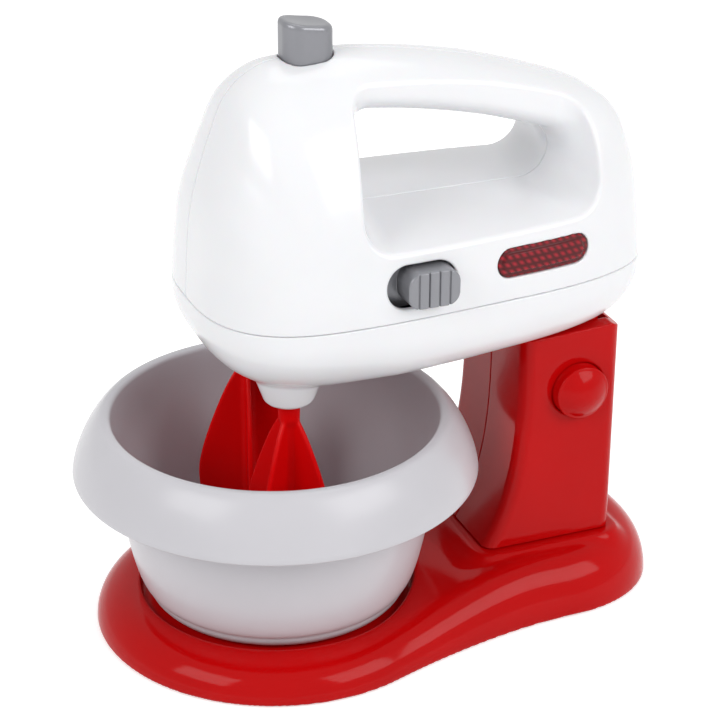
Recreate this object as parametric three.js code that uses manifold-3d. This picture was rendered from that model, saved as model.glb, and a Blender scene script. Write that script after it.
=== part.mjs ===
// Toy stand mixer: a hand mixer with a handle rides on a red stand above a grey bowl.
// Millimetres, +Z up, the nose points to -X and the tail to +X, and the toy's left is -Y.
// Everything is modelled about the bowl's axis, and the last group moves the origin
// to the middle of the whole toy's footprint.

import * as THREE from 'three';
import { mergeVertices } from 'three/addons/utils/BufferGeometryUtils.js';
import Module from 'manifold-3d';

const wasm = await Module();
wasm.setup();

// Fits, walls and screws shared by the whole toy
const gap = 0.3;
const runningGap = 0.35;
const wall = 2.2;
const overrun = 3;
const pilotRadius = 1.1;
const screwHoleRadius = 1.7;
const screwThreadRadius = 0.8;
const screwHeadRadius = 2.7;
const screwHeadHeight = 1.8;
const counterboreRadius = 3.3;
const bossRadius = 3.6;
const longScrew = 16;
const screwLength = 12;
const shortScrew = 6;
const springWire = 0.45;

// Bowl
const bowlFlangeRadius = 67.5;
const bowlFlangeLip = 56.8;
const bowlMouthRadius = 56.2;
const bowlRimTop = 76;
const bowlFootRadius = 33;
const bowlHeelRadius = 44.4;
const bowlHeelRise = 5;
const bowlFootRound = 2;
const bowlWall = 2;

// Base
const baseFrontRadius = 61.8;
const baseRearReach = 134.5;
const baseRearHalfWidth = 43.6;
const baseRearStart = 90;
const baseWaistLead = 22;
const baseWaistTrail = 20;
const baseLift = 0.6;
const baseRimInset = 14;
const baseRimHeight = 12.6;
const baseRimRear = 19.8;
const baseClimbStart = 14;
const baseClimbEnd = 80;
const wellRadius = 46.4;
const wellFloor = 10;
const pedestalTop = 21.2;
const pedestalMargin = 3;
const pedestalSpread = 8;
const pedestalClear = 4.5;
const pedestalFrontSpread = 20;
const plateThickness = 2;
const plateInset = 4.6;
const footRadius = 6;
const footHeight = 1.8;
const footStudRadius = 2;
const footStudRoot = 1;
const footMargin = 13.2;
const frontFootY = (baseFrontRadius - footMargin) * Math.SQRT1_2;
const frontFootX = -frontFootY;
const rearFootMargin = 22.5;
const rearFootX = baseRearReach - rearFootMargin;
const rearFootInset = 21;
const rearFootY = baseRearHalfWidth - rearFootInset;
const baseHeadHeight = 1.1;
const frontPostMargin = 24.4;
const frontPostDegrees = 40.6;
const rearPostMargin = 30.5;
const rearPostX = baseRearReach - rearPostMargin;
const rearPostInset = 13;
const rearPostY = baseRearHalfWidth - rearPostInset;

// Column
const columnHalfWidth = 25.5;
const columnRear = 114.2;
const columnFront = 78.4;
const columnFootSweep = 12.4;
const columnFrontTop = 97;
const columnCorner = 4.5;
const columnTopStep = 1.2;
const columnRearRise = 8;
const halfJointY = 6;
const lowerJointX = 93;
const lowerJointZ = 38;
const upperJointX = 84.5;
const upperJointZ = 68;
const columnFootScrewX = 90;
const columnFootScrewY = 20.6;
const columnFootBoss = 14;

// Head
const headAxisX = 15;
const partingHeight = 121.6;
const noseReach = 44.8;
const tailReach = 110.1;
const headHalfWidth = 43.5;
const crownRise = 76.4;
const tailNarrowing = 2.4;
const trayBottom = 96.5;
const trayCorner = 17;
const trayNoseCorner = 20.5;
const trayCornerBend = 60;
const trayKnee = 30;
const trayTailRise = 5;
const trayNoseKnee = 12;
const trayNoseRise = 2;
const trayCornerClear = 1;
const openingFloor = 146.3;
const openingFloorDrop = 2.6;
const openingFront = 21;
const openingRear = 95.8;
const openingFlare = 6;
const openingCorner = 10;
const gripHalfWidth = 17;
const gripDepth = 18;
const gripSideDepth = 9.5;
const trayBossX = 52;
const trayBossY = 23;
const trayScrewSeat = 10;
const trayPilotDepth = 9;

// Beaters and nozzles
const beaterX = -2.5;
const beaterSpacing = 40;
const beaterRadius = 17.3;
const beaterTop = 84;
const beaterBottom = 25;
const beaterShaftRadius = 1.7;
const beaterCoreRadius = 2.2;
const beaterHubRadius = 3.6;
const beaterHubTaper = 6;
const beaterCoreRise = 4;
const bladeThickness = 1.8;
const nozzleTopRadius = 10.4;
const nozzleTipRadius = 7.8;
const nozzleRound = 1.7;
const nozzleTip = 89.3;
const bushingRadius = 6.4;
const bushingLength = 6;

// Gears and motor
const wheelTeeth = 30;
const wormTurns = 3;
const wormPitchRadius = 4;
const wormShoulder = 2;
const wheelHeight = 126;
const wheelFace = 5;
const wheelHubRadius = 6;
const toothBacklash = 0.95;
const toothAddendum = 0.85;
const toothDedendum = 1.15;
const spindleRadius = 3;
const spindleBore = 2.1;
const spindleRise = 0.4;
const collarRadius = 5.2;
const collarHeight = 2;
const gearPlateThickness = 2;
const gearPlateSetback = 0.8;
const gearPostRadius = 2.6;
const gearPostReach = 20.9;
const gearPostFrontY = 9.2;
const gearPostRearY = 25.2;
const gearScrewLength = 11;
const bearingReach = 16;
const bearingThickness = 2;
const bearingHalfWidth = 5;
const bearingDrop = 4;
const motorFront = 16;
const motorLength = 25;
const motorRadius = 10;
const motorFlat = 7.6;
const motorNoseRadius = 3;
const motorNoseLength = 1.5;
const motorShaftRadius = 1;
const motorShaftDepth = 6;
const motorBoreDepth = 8;
const saddleThickness = 2;
const saddleRise = 5;

// Eject button, fork and spring
const ejectTravel = 5;
const ejectFront = 3.1;
const ejectRear = 19.5;
const ejectHalfWidth = 7;
const ejectCorner = 5.8;
const ejectTop = 209.8;
const ejectCapDepth = 27.4;
const ejectCapWall = 1.6;
const ejectCapRoof = 5.7;
const ejectDishRadius = 20;
const ejectDishDepth = 0.9;
const ejectSlopeDegrees = 8.5;
const ejectFlange = 1.5;
const stemX = 9;
const stemRadius = 3;
const webHeight = 168;
const webThickness = 2;
const forkClearance = 1;
const forkThickness = 2.6;
const forkHalfWidth = 3;
const forkTongueHalfWidth = 4;
const forkPinRadius = 1.6;
const forkPinReach = 20;
const ejectSpringRadius = 3.9;
const stemCollarRadius = 4;

// Switch and lens
const switchX = 33.8;
const switchZ = 133;
const switchSlotLength = 24.1;
const switchSlotHeight = 14.5;
const switchTravel = 4;
const knobClearance = 1.2;
const knobProud = 4;
const knobEndGap = 1.4;
const knobRib = 0.6;
const knobPlateLap = 0.8;
const knobPlateCorner = 2;
const knobPlateThickness = 1.2;
const knobPlateDepth = 6.1;
const tongueHalfLength = 3;
const tongueHalfHeight = 1.4;
const tongueReach = 3.9;
const switchPostRadius = 2.3;
const switchEarDepth = 8.5;
const switchEarThickness = 1.6;
const switchEarLap = 2.5;
const switchEarHalfHeight = 4;
const switchBlockDepth = 8;
const switchBlockHalfLength = 11;
const switchBlockHalfHeight = 6;
const switchSlotDepth = 2.4;
const lensPlaceShare = 0.566;
const lensX = headAxisX + tailReach * lensPlaceShare;
const lensZ = 134.3;
const lensLength = 33.6;
const lensHeight = 9.7;
const lensDepth = 1.6;
const lensProud = 0.35;
const lensLedge = 1.8;
const lampBoardDepth = 12.5;
const lampBoardThickness = 1.4;
const lampPostSpread = 17;
const lampRadius = 2.5;
const lampHeight = 3.1;
const lampFlange = 0.5;
const lampFlangeHeight = 1;

// Release button, latch and spring
const releaseX = 99;
const releaseZ = 77.2;
const releaseRadius = 9.4;
const releaseProud = 5.5;
const releaseDome = 2.4;
const releaseFlange = 2;
const releaseFlangeThickness = 1.5;
const releaseStemRadius = 4;
const releaseStemEnd = 3.5;
const releaseBossEnd = -2;
const releaseBossRadius = 7;
const releasePadRadius = 12.5;
const releasePad = 1.3;
const releaseDishRadius = 13.5;
const releaseDish = 1;
const releaseSpringRadius = 5.6;
const latchRing = 3;
const latchToothHalfWidth = 2;
const latchSetback = 5.4;
const latchThickness = 2.9;

// Tilting cradle
const hingeX = 108.1;
const hingeZ = 93.5;
const hingeBarrelRadius = 3.4;
const hingePinRadius = 1.5;
const hingeBossWall = 1.2;
const hingeBossReach = 4;
const tiltDegrees = 30;
const tiltStepDegrees = 10;
const cradleFront = 81.3;
const cradleHalfWidth = 19;
const ledgeClear = 0.5;
const ledgeRise = 1.2;
const cradleFoot = 2.5;
const cradleWall = 2;
const cradleRoof = 1.8;
const quadrantRadius = 8;
const quadrantLap = 1.7;
const pegX = 88;
const pegY = 12;
const pegRadius = 3;
const pegTop = 105;

// Battery bay for two size AA cells
const cellRadius = 7.1;
const cellLength = 50.5;
const cellNubRadius = 2.7;
const cellNub = 1;
const cellFront = 24.4;
const cellSpacing = 14.7;
const bayBorder = 0.4;
const bayEndGap = 1;
const boxWall = 1.3;
const boxRoof = 2;
const contactRoom = 2.4;
const contactThickness = 0.5;
const contactHalfWidth = 4;
const contactButtonRadius = 2.2;
const doorFront = 15.6;
const doorThickness = 1.9;
const doorRearLap = 1.2;
const doorSideLap = 2;
const doorLedge = 2;
const doorScrewInset = 4.7;
const doorScrewSink = 0.2;
const doorScrewHead = 0.8;
const doorBossRadius = 2.5;
const doorBossHeight = 8;

// Materials
const finish = (color, roughness, metalness = 0) =>
  new THREE.MeshStandardMaterial({ color, roughness, metalness });
const white = finish(0xf4f4f6, 0.25);
const red = finish(0xc41218, 0.22);
const bowlGrey = finish(0xd2d1d6, 0.35);
const controlGrey = finish(0x8f9099, 0.4);
const lensRed = finish(0x8c0a10, 0.12);
const darkPlastic = finish(0x2b2c30, 0.6);
const milky = finish(0xe6e2d6, 0.45);
const steel = finish(0xb9bcc0, 0.3, 1);
const brass = finish(0xc9a555, 0.35, 1);
const rubber = finish(0x2a2a2c, 0.85);
const cellGreen = finish(0x3f6b52, 0.45);
const boardGreen = finish(0x2f6b3c, 0.5);

// Solids from closed meshes, and the two boolean operations
function signedVolume(position, index) {
  const [a, b, c] = [new THREE.Vector3(), new THREE.Vector3(), new THREE.Vector3()];
  let sum = 0;
  for (let i = 0; i < index.length; i += 3) {
    a.fromBufferAttribute(position, index[i]);
    b.fromBufferAttribute(position, index[i + 1]);
    c.fromBufferAttribute(position, index[i + 2]);
    sum += a.dot(b.cross(c));
  }
  return sum;
}

function solid(geometry) {
  const bare = geometry.clone();
  bare.deleteAttribute('normal');
  bare.deleteAttribute('uv');
  const merged = mergeVertices(bare);
  const index = [];
  const source = merged.index.array;
  for (let i = 0; i < source.length; i += 3) {
    const [a, b, c] = source.slice(i, i + 3);
    if (a !== b && b !== c && c !== a) index.push(a, b, c);
  }
  if (signedVolume(merged.attributes.position, index) < 0) index.reverse();
  return new wasm.Manifold(new wasm.Mesh({
    numProp: 3,
    vertProperties: new Float32Array(merged.attributes.position.array),
    triVerts: new Uint32Array(index),
  }));
}

const join = (first, ...rest) => rest.reduce((body, piece) => body.add(piece), first);
const cut = (first, ...rest) => rest.reduce((body, piece) => body.subtract(piece), first);

function geometryOf(body) {
  const result = body.getMesh();
  const geometry = new THREE.BufferGeometry();
  geometry.setAttribute('position', new THREE.BufferAttribute(result.vertProperties, 3));
  geometry.setIndex(new THREE.BufferAttribute(result.triVerts, 1));
  geometry.computeVertexNormals();
  return geometry;
}

const group = new THREE.Group();

function part(name, body, material) {
  const mesh = new THREE.Mesh(geometryOf(body), material);
  mesh.name = name;
  group.add(mesh);
}

// Triangles that close a flat ring, turned the way the ring turns
function contourCap(ring) {
  const spread = [0, 1, 2].map((axis) => {
    const values = ring.map((point) => point[axis]);
    return Math.max(...values) - Math.min(...values);
  });
  const drop = spread.indexOf(Math.min(...spread));
  const [u, v] = [0, 1, 2].filter((axis) => axis !== drop);
  const contour = ring.map((point) => new THREE.Vector2(point[u], point[v]));
  const turn = Math.sign(THREE.ShapeUtils.area(contour));
  return THREE.ShapeUtils.triangulateShape(contour.slice(), []).map(([p, q, r]) => {
    const same = Math.sign(THREE.ShapeUtils.area([contour[p], contour[q], contour[r]])) === turn;
    return same ? [p, q, r] : [p, r, q];
  });
}

// Strips between the points that mirror each other, for rings that start in the middle plane
// or beside it
function mirrorCap(ring) {
  const count = ring.length;
  const beside = ring[0][1] === 0 ? 0 : 1;
  const partner = (i) => (count - beside - i) % count;
  return Array.from({ length: count / 2 - beside }, (_, i) => [
    [i, i + 1, partner(i + 1)],
    [i, partner(i + 1), partner(i)],
  ]).flat();
}

// Skin through rings of points, with both end rings closed
function loft(rings, cap = contourCap) {
  const count = rings[0].length;
  const faces = [];
  for (let i = 0; i + 1 < rings.length; i += 1) {
    for (let j = 0; j < count; j += 1) {
      const k = (j + 1) % count;
      const [a, b, c, d] = [i * count + j, i * count + k, (i + 1) * count + k, (i + 1) * count + j];
      faces.push(a, b, c, a, c, d);
    }
  }
  const end = (rings.length - 1) * count;
  cap(rings[0]).forEach(([p, q, r]) => faces.push(p, r, q));
  cap(rings[rings.length - 1]).forEach(([p, q, r]) => faces.push(p + end, q + end, r + end));
  const geometry = new THREE.BufferGeometry();
  geometry.setAttribute('position', new THREE.Float32BufferAttribute(rings.flat(2), 3));
  geometry.setIndex(faces);
  return solid(geometry);
}

// Plain shapes, given by where they start and end
function box(x0, x1, y0, y1, z0, z1) {
  const geometry = new THREE.BoxGeometry(x1 - x0, y1 - y0, z1 - z0);
  return solid(geometry.translate((x0 + x1) / 2, (y0 + y1) / 2, (z0 + z1) / 2));
}

function rodZ(radius, x, y, z0, z1, sides = 20) {
  const geometry = new THREE.CylinderGeometry(radius, radius, z1 - z0, sides);
  return solid(geometry.rotateX(Math.PI / 2).translate(x, y, (z0 + z1) / 2));
}

function rodY(radius, x, z, y0, y1, sides = 20) {
  const geometry = new THREE.CylinderGeometry(radius, radius, y1 - y0, sides);
  return solid(geometry.translate(x, (y0 + y1) / 2, z));
}

function rodX(radius, y, z, x0, x1, sides = 20) {
  const geometry = new THREE.CylinderGeometry(radius, radius, x1 - x0, sides);
  return solid(geometry.rotateZ(Math.PI / 2).translate((x0 + x1) / 2, y, z));
}

// Turned piece about the vertical line through x, y from a profile of [radius, height]
function turned(profile, x = 0, y = 0, sides = 24) {
  const points = profile.map(([radius, height]) => new THREE.Vector2(radius, height));
  const geometry = new THREE.LatheGeometry(points, sides);
  return solid(geometry.rotateX(Math.PI / 2).translate(x, y, 0));
}

// Turned piece about the line through x, z across the toy from a profile of [radius, y]
function turnedY(profile, x, z, sides) {
  const points = profile.map(([radius, y]) => new THREE.Vector2(radius, y));
  return solid(new THREE.LatheGeometry(points, sides).translate(x, 0, z));
}

// Outline in X and Y, extruded upwards
function slab(shape, z0, z1, curveSegments = 8) {
  const geometry = new THREE.ExtrudeGeometry(shape,
    { depth: z1 - z0, bevelEnabled: false, curveSegments });
  return solid(geometry.translate(0, 0, z0));
}

// Outline in X and Z, extruded across the toy from y0 to y1
function across(shape, y0, y1, curveSegments = 8) {
  const geometry = new THREE.ExtrudeGeometry(shape,
    { depth: y1 - y0, bevelEnabled: false, curveSegments });
  return solid(geometry.rotateX(Math.PI / 2).translate(0, y1, 0));
}

function roundedShape(x0, x1, y0, y1, radius) {
  const shape = new THREE.Shape();
  shape.absarc(x1 - radius, y0 + radius, radius, -Math.PI / 2, 0);
  shape.absarc(x1 - radius, y1 - radius, radius, 0, Math.PI / 2);
  shape.absarc(x0 + radius, y1 - radius, radius, Math.PI / 2, Math.PI);
  shape.absarc(x0 + radius, y0 + radius, radius, Math.PI, Math.PI * 1.5);
  return shape;
}

function stadium(x, y, length, height) {
  const radius = height / 2;
  const shape = new THREE.Shape();
  shape.absarc(x + length / 2 - radius, y, radius, -Math.PI / 2, Math.PI / 2);
  shape.absarc(x - length / 2 + radius, y, radius, Math.PI / 2, Math.PI * 1.5);
  return shape;
}

// Profile of a screw along its own axis, from its head to its tip
const screwProfile = (length, headHeight = screwHeadHeight) => [[0, 0], [screwHeadRadius, 0],
  [screwHeadRadius, headHeight], [screwThreadRadius, headHeight],
  [screwThreadRadius, length - screwThreadRadius], [0, length]];

// Screw along Z with its head at the bottom or, where up is -1, at the top
function screwZ(x, y, headZ, length, up = 1, headHeight = screwHeadHeight) {
  return turned(screwProfile(length, headHeight).map(([r, h]) => [r, headZ + up * h]), x, y, 8);
}

// Screw along Y with its head on the toy's right
function screwY(x, z, headY, length) {
  return turnedY(screwProfile(length).map(([r, h]) => [r, headY - h]), x, z, 8);
}

// Coil spring between two heights of its own axis, along +Z
function coil(radius, wire, length, turns) {
  const stepsPerTurn = 8;
  const sides = 4;
  const steps = turns * stepsPerTurn;
  const rings = [];
  for (let i = 0; i <= steps; i += 1) {
    const angle = (i / stepsPerTurn) * Math.PI * 2;
    const rise = wire + ((length - wire * 2) * i) / steps;
    const out = new THREE.Vector3(Math.cos(angle), Math.sin(angle), 0);
    rings.push(Array.from({ length: sides }, (_, j) => {
      const around = (j / sides) * Math.PI * 2;
      const reach = radius + wire * Math.cos(around);
      return [out.x * reach, out.y * reach, rise + wire * Math.sin(around)];
    }));
  }
  return rings;
}

const moved = (rings, place) => loft(rings.map((ring) => ring.map(place)));

// Point on a superellipse of unit reach
function superPoint(angle, power) {
  const [c, s] = [Math.cos(angle), Math.sin(angle)];
  const reach = (Math.abs(c) ** power + Math.abs(s) ** power) ** (-1 / power);
  return [c * reach, s * reach];
}

// Head surface
const noseSharpnessShare = 2.85;
const tailSharpnessShare = 3.2;
const crownSharpnessShare = 1.85;

// Crown line over the head in the middle plane, as shares of its reach and its rise
const noseLineShares = [[1, 0], [0.991, 0.089], [0.969, 0.301], [0.938, 0.427], [0.884, 0.546],
  [0.806, 0.685], [0.675, 0.862], [0.45, 0.965], [0.165, 0.993]];
const tailLineShares = [[0.074, 1], [0.252, 0.971], [0.442, 0.916], [0.569, 0.864], [0.698, 0.802],
  [0.839, 0.721], [0.909, 0.639], [0.948, 0.513], [0.972, 0.387], [0.988, 0.203], [1, 0]];
const crownLine = new THREE.SplineCurve([
  ...noseLineShares.map(([x, z]) => new THREE.Vector2(-x * noseReach, z * crownRise)),
  ...tailLineShares.map(([x, z]) => new THREE.Vector2(x * tailReach, z * crownRise)),
]);
const crownPoints = crownLine.getSpacedPoints(21);

// Half-width lost towards the tail at a distance behind the head's axis
const tailLoss = (back) => tailNarrowing * THREE.MathUtils.smoothstep(back, 0, tailReach / 2);

// Upper body of the head, drawn in by inset, standing on the parting plane
function crownBody(inset, foot) {
  const steps = inset > 0 ? 8 : 12;
  const rings = [];
  for (let j = 0; j <= steps; j += 1) {
    const angle = -Math.PI / 2 + (j / steps) * Math.PI;
    rings.push(crownPoints.map(({ x, y: z }) => {
      const reach = Math.hypot(x, z);
      const level = (x / reach) ** 2;
      const side = x < 0 ? noseSharpnessShare : tailSharpnessShare;
      const power = crownSharpnessShare + (side - crownSharpnessShare) * level;
      const [along, out] = superPoint(angle, power);
      const inner = reach - inset;
      const px = (x / reach) * inner * along;
      const pz = (z / reach) * inner * along;
      const halfWidth = headHalfWidth - inset - tailLoss(px);
      return [headAxisX + px, out * halfWidth, partingHeight + foot + pz];
    }));
  }
  return loft(rings);
}

// Plan outline of the head at the parting plane, drawn in by inset and by pull times the lower edge's radius
function planRing(inset, pull, height, sides) {
  return Array.from({ length: sides }, (_, i) => {
    const angle = ((i + 0.5) / sides) * Math.PI * 2;
    const nose = Math.cos(angle) < 0;
    const [along, out] = superPoint(angle, nose ? noseSharpnessShare : tailSharpnessShare);
    const reach = nose ? noseReach : tailReach;
    const drawnIn = inset + pull * trayCornerAt(headAxisX + along * reach);
    const px = along * (reach - drawnIn);
    const x = headAxisX + px;
    return [x, out * (headHalfWidth - drawnIn - tailLoss(px)), height(x)];
  });
}

const trayNoseBendShare = 1.5;
const trayNoseTip = headAxisX - noseReach;
const trayFloor = (x) => trayBottom
  + trayTailRise * Math.max(0, x - trayKnee) / (headAxisX + tailReach - trayKnee)
  + trayNoseRise * (Math.max(0, trayNoseKnee - x) / (trayNoseKnee - trayNoseTip)) ** trayNoseBendShare;

// Radius of the tray's lower edge, which grows towards the nose
const trayCornerAt = (x) => Math.min(partingHeight - trayCornerClear - trayFloor(x),
  trayNoseCorner - (trayNoseCorner - trayCorner) * THREE.MathUtils.smoothstep(x, 0, trayCornerBend));

// Rings of the head's lower body, drawn in by inset, from its rounded floor up to top
function trayRings(inset, top) {
  const steps = inset > 0 ? 3 : 4;
  const sides = inset > 0 ? 28 : 36;
  const rings = [planRing(inset, 0, () => top, sides)];
  for (let i = 0; i <= steps; i += 1) {
    const angle = (i / steps) * (Math.PI / 2);
    const [pull, lift] = [1 - Math.cos(angle), 1 - Math.sin(angle)];
    rings.push(planRing(inset * Math.cos(angle), pull,
      (x) => trayFloor(x) + inset + lift * (trayCornerAt(x) - inset), sides));
  }
  return rings;
}

const trayBody = (inset, top) => loft(trayRings(inset, top), mirrorCap);

// Height of the crown line above the parting plane at x
function crownHeight(x) {
  const points = crownPoints;
  const px = x - headAxisX;
  const i = points.findIndex((point, k) => k > 0 && point.x >= px);
  if (i < 1) return partingHeight;
  const [a, b] = [points[i - 1], points[i]];
  return partingHeight + a.y + ((b.y - a.y) * (px - a.x)) / (b.x - a.x);
}

const gripSharpnessShare = 2.5;
const flareBendShare = 1.5;
const gripEaseShare = 0.6;
const gripEaseBendShare = 8;
const openingHeightShare = 1.2;
const openingMidShare = 0.7;

// Hole under the grip, widening outwards, grown by grow on every side
function openingBody(grow) {
  const reach = headHalfWidth + overrun;
  const half = gripHalfWidth - grow;
  const stations = [];
  const gripSteps = 3;
  for (let i = 0; i <= gripSteps; i += 1) {
    const [across01, down01] = superPoint((Math.PI / 2) * (1 - i / gripSteps), gripSharpnessShare);
    stations.push([half * across01, gripSideDepth + (gripDepth - gripSideDepth) * down01 - grow]);
  }
  [half, headHalfWidth * openingMidShare, reach].forEach((y) => stations.push([y, -overrun * 4]));
  const full = [...stations.slice().reverse().map(([y, depth]) => [-y, depth]), ...stations.slice(1)];
  return loft(full.map(([y, depth]) => {
    const flare = openingFlare * (Math.abs(y) / headHalfWidth) ** flareBendShare;
    const x0 = openingFront - flare - grow;
    const x1 = openingRear + flare + grow;
    const z0 = openingFloor - openingFloorDrop * (Math.abs(y) / headHalfWidth) ** 2 - grow;
    const corner = openingCorner + grow;
    const lower = [];
    const cornerSteps = 3;
    for (let i = 0; i <= cornerSteps; i += 1) {
      const angle = (i / cornerSteps) * (Math.PI / 2);
      lower.push([x0 + corner * (1 - Math.cos(angle)), z0 + corner * (1 - Math.sin(angle))]);
    }
    const [front, rear] = [lower, lower.map(([x, z]) => [x0 + x1 - x, z]).reverse()];
    const upper = [];
    const topSteps = 6;
    for (let i = 0; i <= topSteps; i += 1) {
      const x = x1 - ((x1 - x0) * i) / topSteps;
      const ease = corner * gripEaseShare * Math.abs((2 * i) / topSteps - 1) ** gripEaseBendShare;
      upper.push([x, Math.max(crownHeight(x) - depth - ease, z0 + corner * openingHeightShare)]);
    }
    return [...front, ...rear, ...upper].map(([x, z]) => [x, y, z]);
  }));
}

const bothSides = [-1, 1];
const handOf = (side) => (side < 0 ? 'left' : 'right');
const halfSpace = (side) => (side < 0
  ? box(-tailReach, tailReach * 2, -tailReach, -gap / 2, 0, tailReach * 2)
  : box(-tailReach, tailReach * 2, gap / 2, tailReach, 0, tailReach * 2));

// Upper housing: a shell round the handle opening, split in the middle plane
const housingFoot = gap / 2;
const insideShare = 0.6;
const housingOuter = cut(crownBody(0, housingFoot), openingBody(0));
const housingCavity = cut(crownBody(wall, -overrun), openingBody(wall));
const housingShell = cut(housingOuter, housingCavity);
const insideHousing = cut(crownBody(wall * insideShare, 0), openingBody(wall * insideShare));

// Bosses that hold the halves together, as shares of the head's reach and of its rise
const housingBossShares = [[-0.6, 0.48], [0.85, 0.35], [0.763, 0.125]];
const housingBosses = housingBossShares.map(([along, up]) => [
  headAxisX + along * (along < 0 ? noseReach : tailReach), partingHeight + up * crownRise]);

const ejectOutline = (grow) => roundedShape(ejectFront - grow, ejectRear + grow, -ejectHalfWidth - grow,
  ejectHalfWidth + grow, ejectCorner + grow);

function housingHalf(side) {
  const [near, far] = side < 0 ? [-headHalfWidth, -gap / 2] : [gap / 2, headHalfWidth];
  const web = box(headAxisX - noseReach, openingFront, near, far, webHeight, webHeight + webThickness);
  const bosses = housingBosses.map(([x, z]) => rodY(bossRadius, x, z, near, far, 12));
  const trayBoss = rodZ(bossRadius, trayBossX, side * trayBossY, partingHeight + gap, openingFloor, 12);
  const fittings = join(web, ...bosses, trayBoss).intersect(insideHousing);
  const body = join(housingShell.intersect(halfSpace(side)), fittings);
  const stemHole = rodZ(stemRadius + runningGap, stemX, 0, webHeight - overrun,
    webHeight + webThickness + overrun, 16);
  const ejectHole = slab(ejectOutline(gap), webHeight + webThickness + overrun, ejectTop);
  const screwHoles = housingBosses.map(([x, z]) => (side < 0
    ? rodY(pilotRadius, x, z, -halfJointY - overrun, overrun, 8)
    : join(rodY(screwHoleRadius, x, z, -overrun, headHalfWidth, 10),
      rodY(counterboreRadius, x, z, halfJointY, headHalfWidth + overrun, 12))));
  const trayPilot = rodZ(pilotRadius, trayBossX, side * trayBossY, partingHeight - overrun,
    partingHeight + trayPilotDepth, 8);
  return cut(body, stemHole, ejectHole, ...screwHoles, trayPilot);
}

// Switch: a ribbed knob in a stadium slot, with a plate behind the wall and a body on two posts
const knobLength = switchSlotLength - switchTravel - knobEndGap * 2;
const knobHeight = switchSlotHeight - knobClearance * 2;
const knobX = switchX + switchTravel / 2;
const knobPlateY = knobPlateDepth - headHalfWidth;
const knobPlateHalf = (switchSlotLength + switchTravel) / 2 + knobPlateLap;
const switchEarY = switchEarDepth - headHalfWidth;
const switchPostX = [knobX - knobPlateHalf - switchTravel - switchPostRadius - gap * 2,
  knobX + knobPlateHalf + switchPostRadius + gap * 2];

// Lens: a thin stadium skin that follows the side of the head, with a lamp board behind it
const lampBoardY = lampBoardDepth - headHalfWidth;
const lampPostZ = lensZ - lensHeight / 2 - switchPostRadius - gap * 2;
const lampPostX = bothSides.map((side) => lensX + (side * lampPostSpread) / 2);
const lensBlank = (grow, inner) => across(stadium(lensX, lensZ, lensLength + grow * 2,
  lensHeight + grow * 2), -headHalfWidth - overrun, inner);

function leftHousing() {
  const slot = across(stadium(switchX, switchZ, switchSlotLength, switchSlotHeight),
    -headHalfWidth - overrun, knobPlateY);
  const skin = cut(lensBlank(gap, lampBoardY), crownBody(lensDepth + gap, 0));
  const window = lensBlank(-lensLedge, lampBoardY);
  const post = (x, z, end) => rodY(switchPostRadius, x, z, -headHalfWidth, end - gap, 10);
  const posts = [...switchPostX.map((x) => post(x, switchZ, switchEarY)),
    ...lampPostX.map((x) => post(x, lampPostZ, lampBoardY))];
  return cut(join(housingHalf(-1), join(...posts).intersect(insideHousing)), slot, skin, window);
}

function lens() {
  return cut(lensBlank(0, lampBoardY).intersect(crownBody(-lensProud, housingFoot)), crownBody(lensDepth, 0));
}

function lamp() {
  const base = lampBoardY - gap;
  return join(rodY(lampRadius, lensX, lensZ, base - lampHeight, base, 12),
    rodY(lampRadius + lampFlange, lensX, lensZ, base - lampFlangeHeight, base, 12));
}

function lampBoard() {
  return box(lampPostX[0] - switchPostRadius, lampPostX[1] + switchPostRadius, lampBoardY,
    lampBoardY + lampBoardThickness, lampPostZ - switchPostRadius, lensZ + lensHeight / 2);
}

function switchKnob() {
  const ribs = 5;
  const pitch = knobLength / (ribs + knobRib);
  const front = -headHalfWidth - knobProud;
  const body = across(stadium(knobX, switchZ, knobLength, knobHeight), front, knobPlateY, 6);
  const grooves = Array.from({ length: ribs - 1 }, (_, i) => {
    const x = knobX + (i - (ribs - 2) / 2) * pitch;
    return box(x - knobRib / 2, x + knobRib / 2, front - overrun, front + knobRib,
      switchZ - knobHeight, switchZ + knobHeight);
  });
  const plate = across(roundedShape(knobX - knobPlateHalf, knobX + knobPlateHalf,
    switchZ - knobHeight / 2 - knobPlateLap * 2, switchZ + knobHeight / 2 + knobPlateLap * 2,
    knobPlateCorner), knobPlateY, knobPlateY + knobPlateThickness, 4);
  const tongue = box(knobX - tongueHalfLength, knobX + tongueHalfLength, knobPlateY,
    knobPlateY + tongueReach, switchZ - tongueHalfHeight, switchZ + tongueHalfHeight);
  return join(cut(body, ...grooves), plate, tongue);
}

function switchBody() {
  const ears = box(switchPostX[0] - switchEarLap, switchPostX[1] + switchEarLap, switchEarY,
    switchEarY + switchEarThickness, switchZ - switchEarHalfHeight, switchZ + switchEarHalfHeight);
  const block = box(knobX - switchBlockHalfLength, knobX + switchBlockHalfLength, switchEarY,
    switchEarY + switchBlockDepth, switchZ - switchBlockHalfHeight, switchZ + switchBlockHalfHeight);
  const slot = box(knobX - tongueHalfLength - switchTravel - gap, knobX + tongueHalfLength + gap,
    switchEarY - overrun, switchEarY + switchSlotDepth, switchZ - tongueHalfHeight - gap,
    switchZ + tongueHalfHeight + gap);
  return cut(join(ears, block), slot);
}

part('housing_left', leftHousing(), white);
part('housing_right', housingHalf(1), white);
part('power_lens', lens(), lensRed);
part('switch_knob', switchKnob(), controlGrey);
part('switch_body', switchBody(), darkPlastic);
part('lamp_board', lampBoard(), boardGreen);
part('lamp', lamp(), lensRed);
housingBosses.forEach(([x, z], i) => {
  part(`housing_screw_${i + 1}`, screwY(x, z, halfJointY + gap + screwHeadHeight, screwLength), steel);
});

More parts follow.
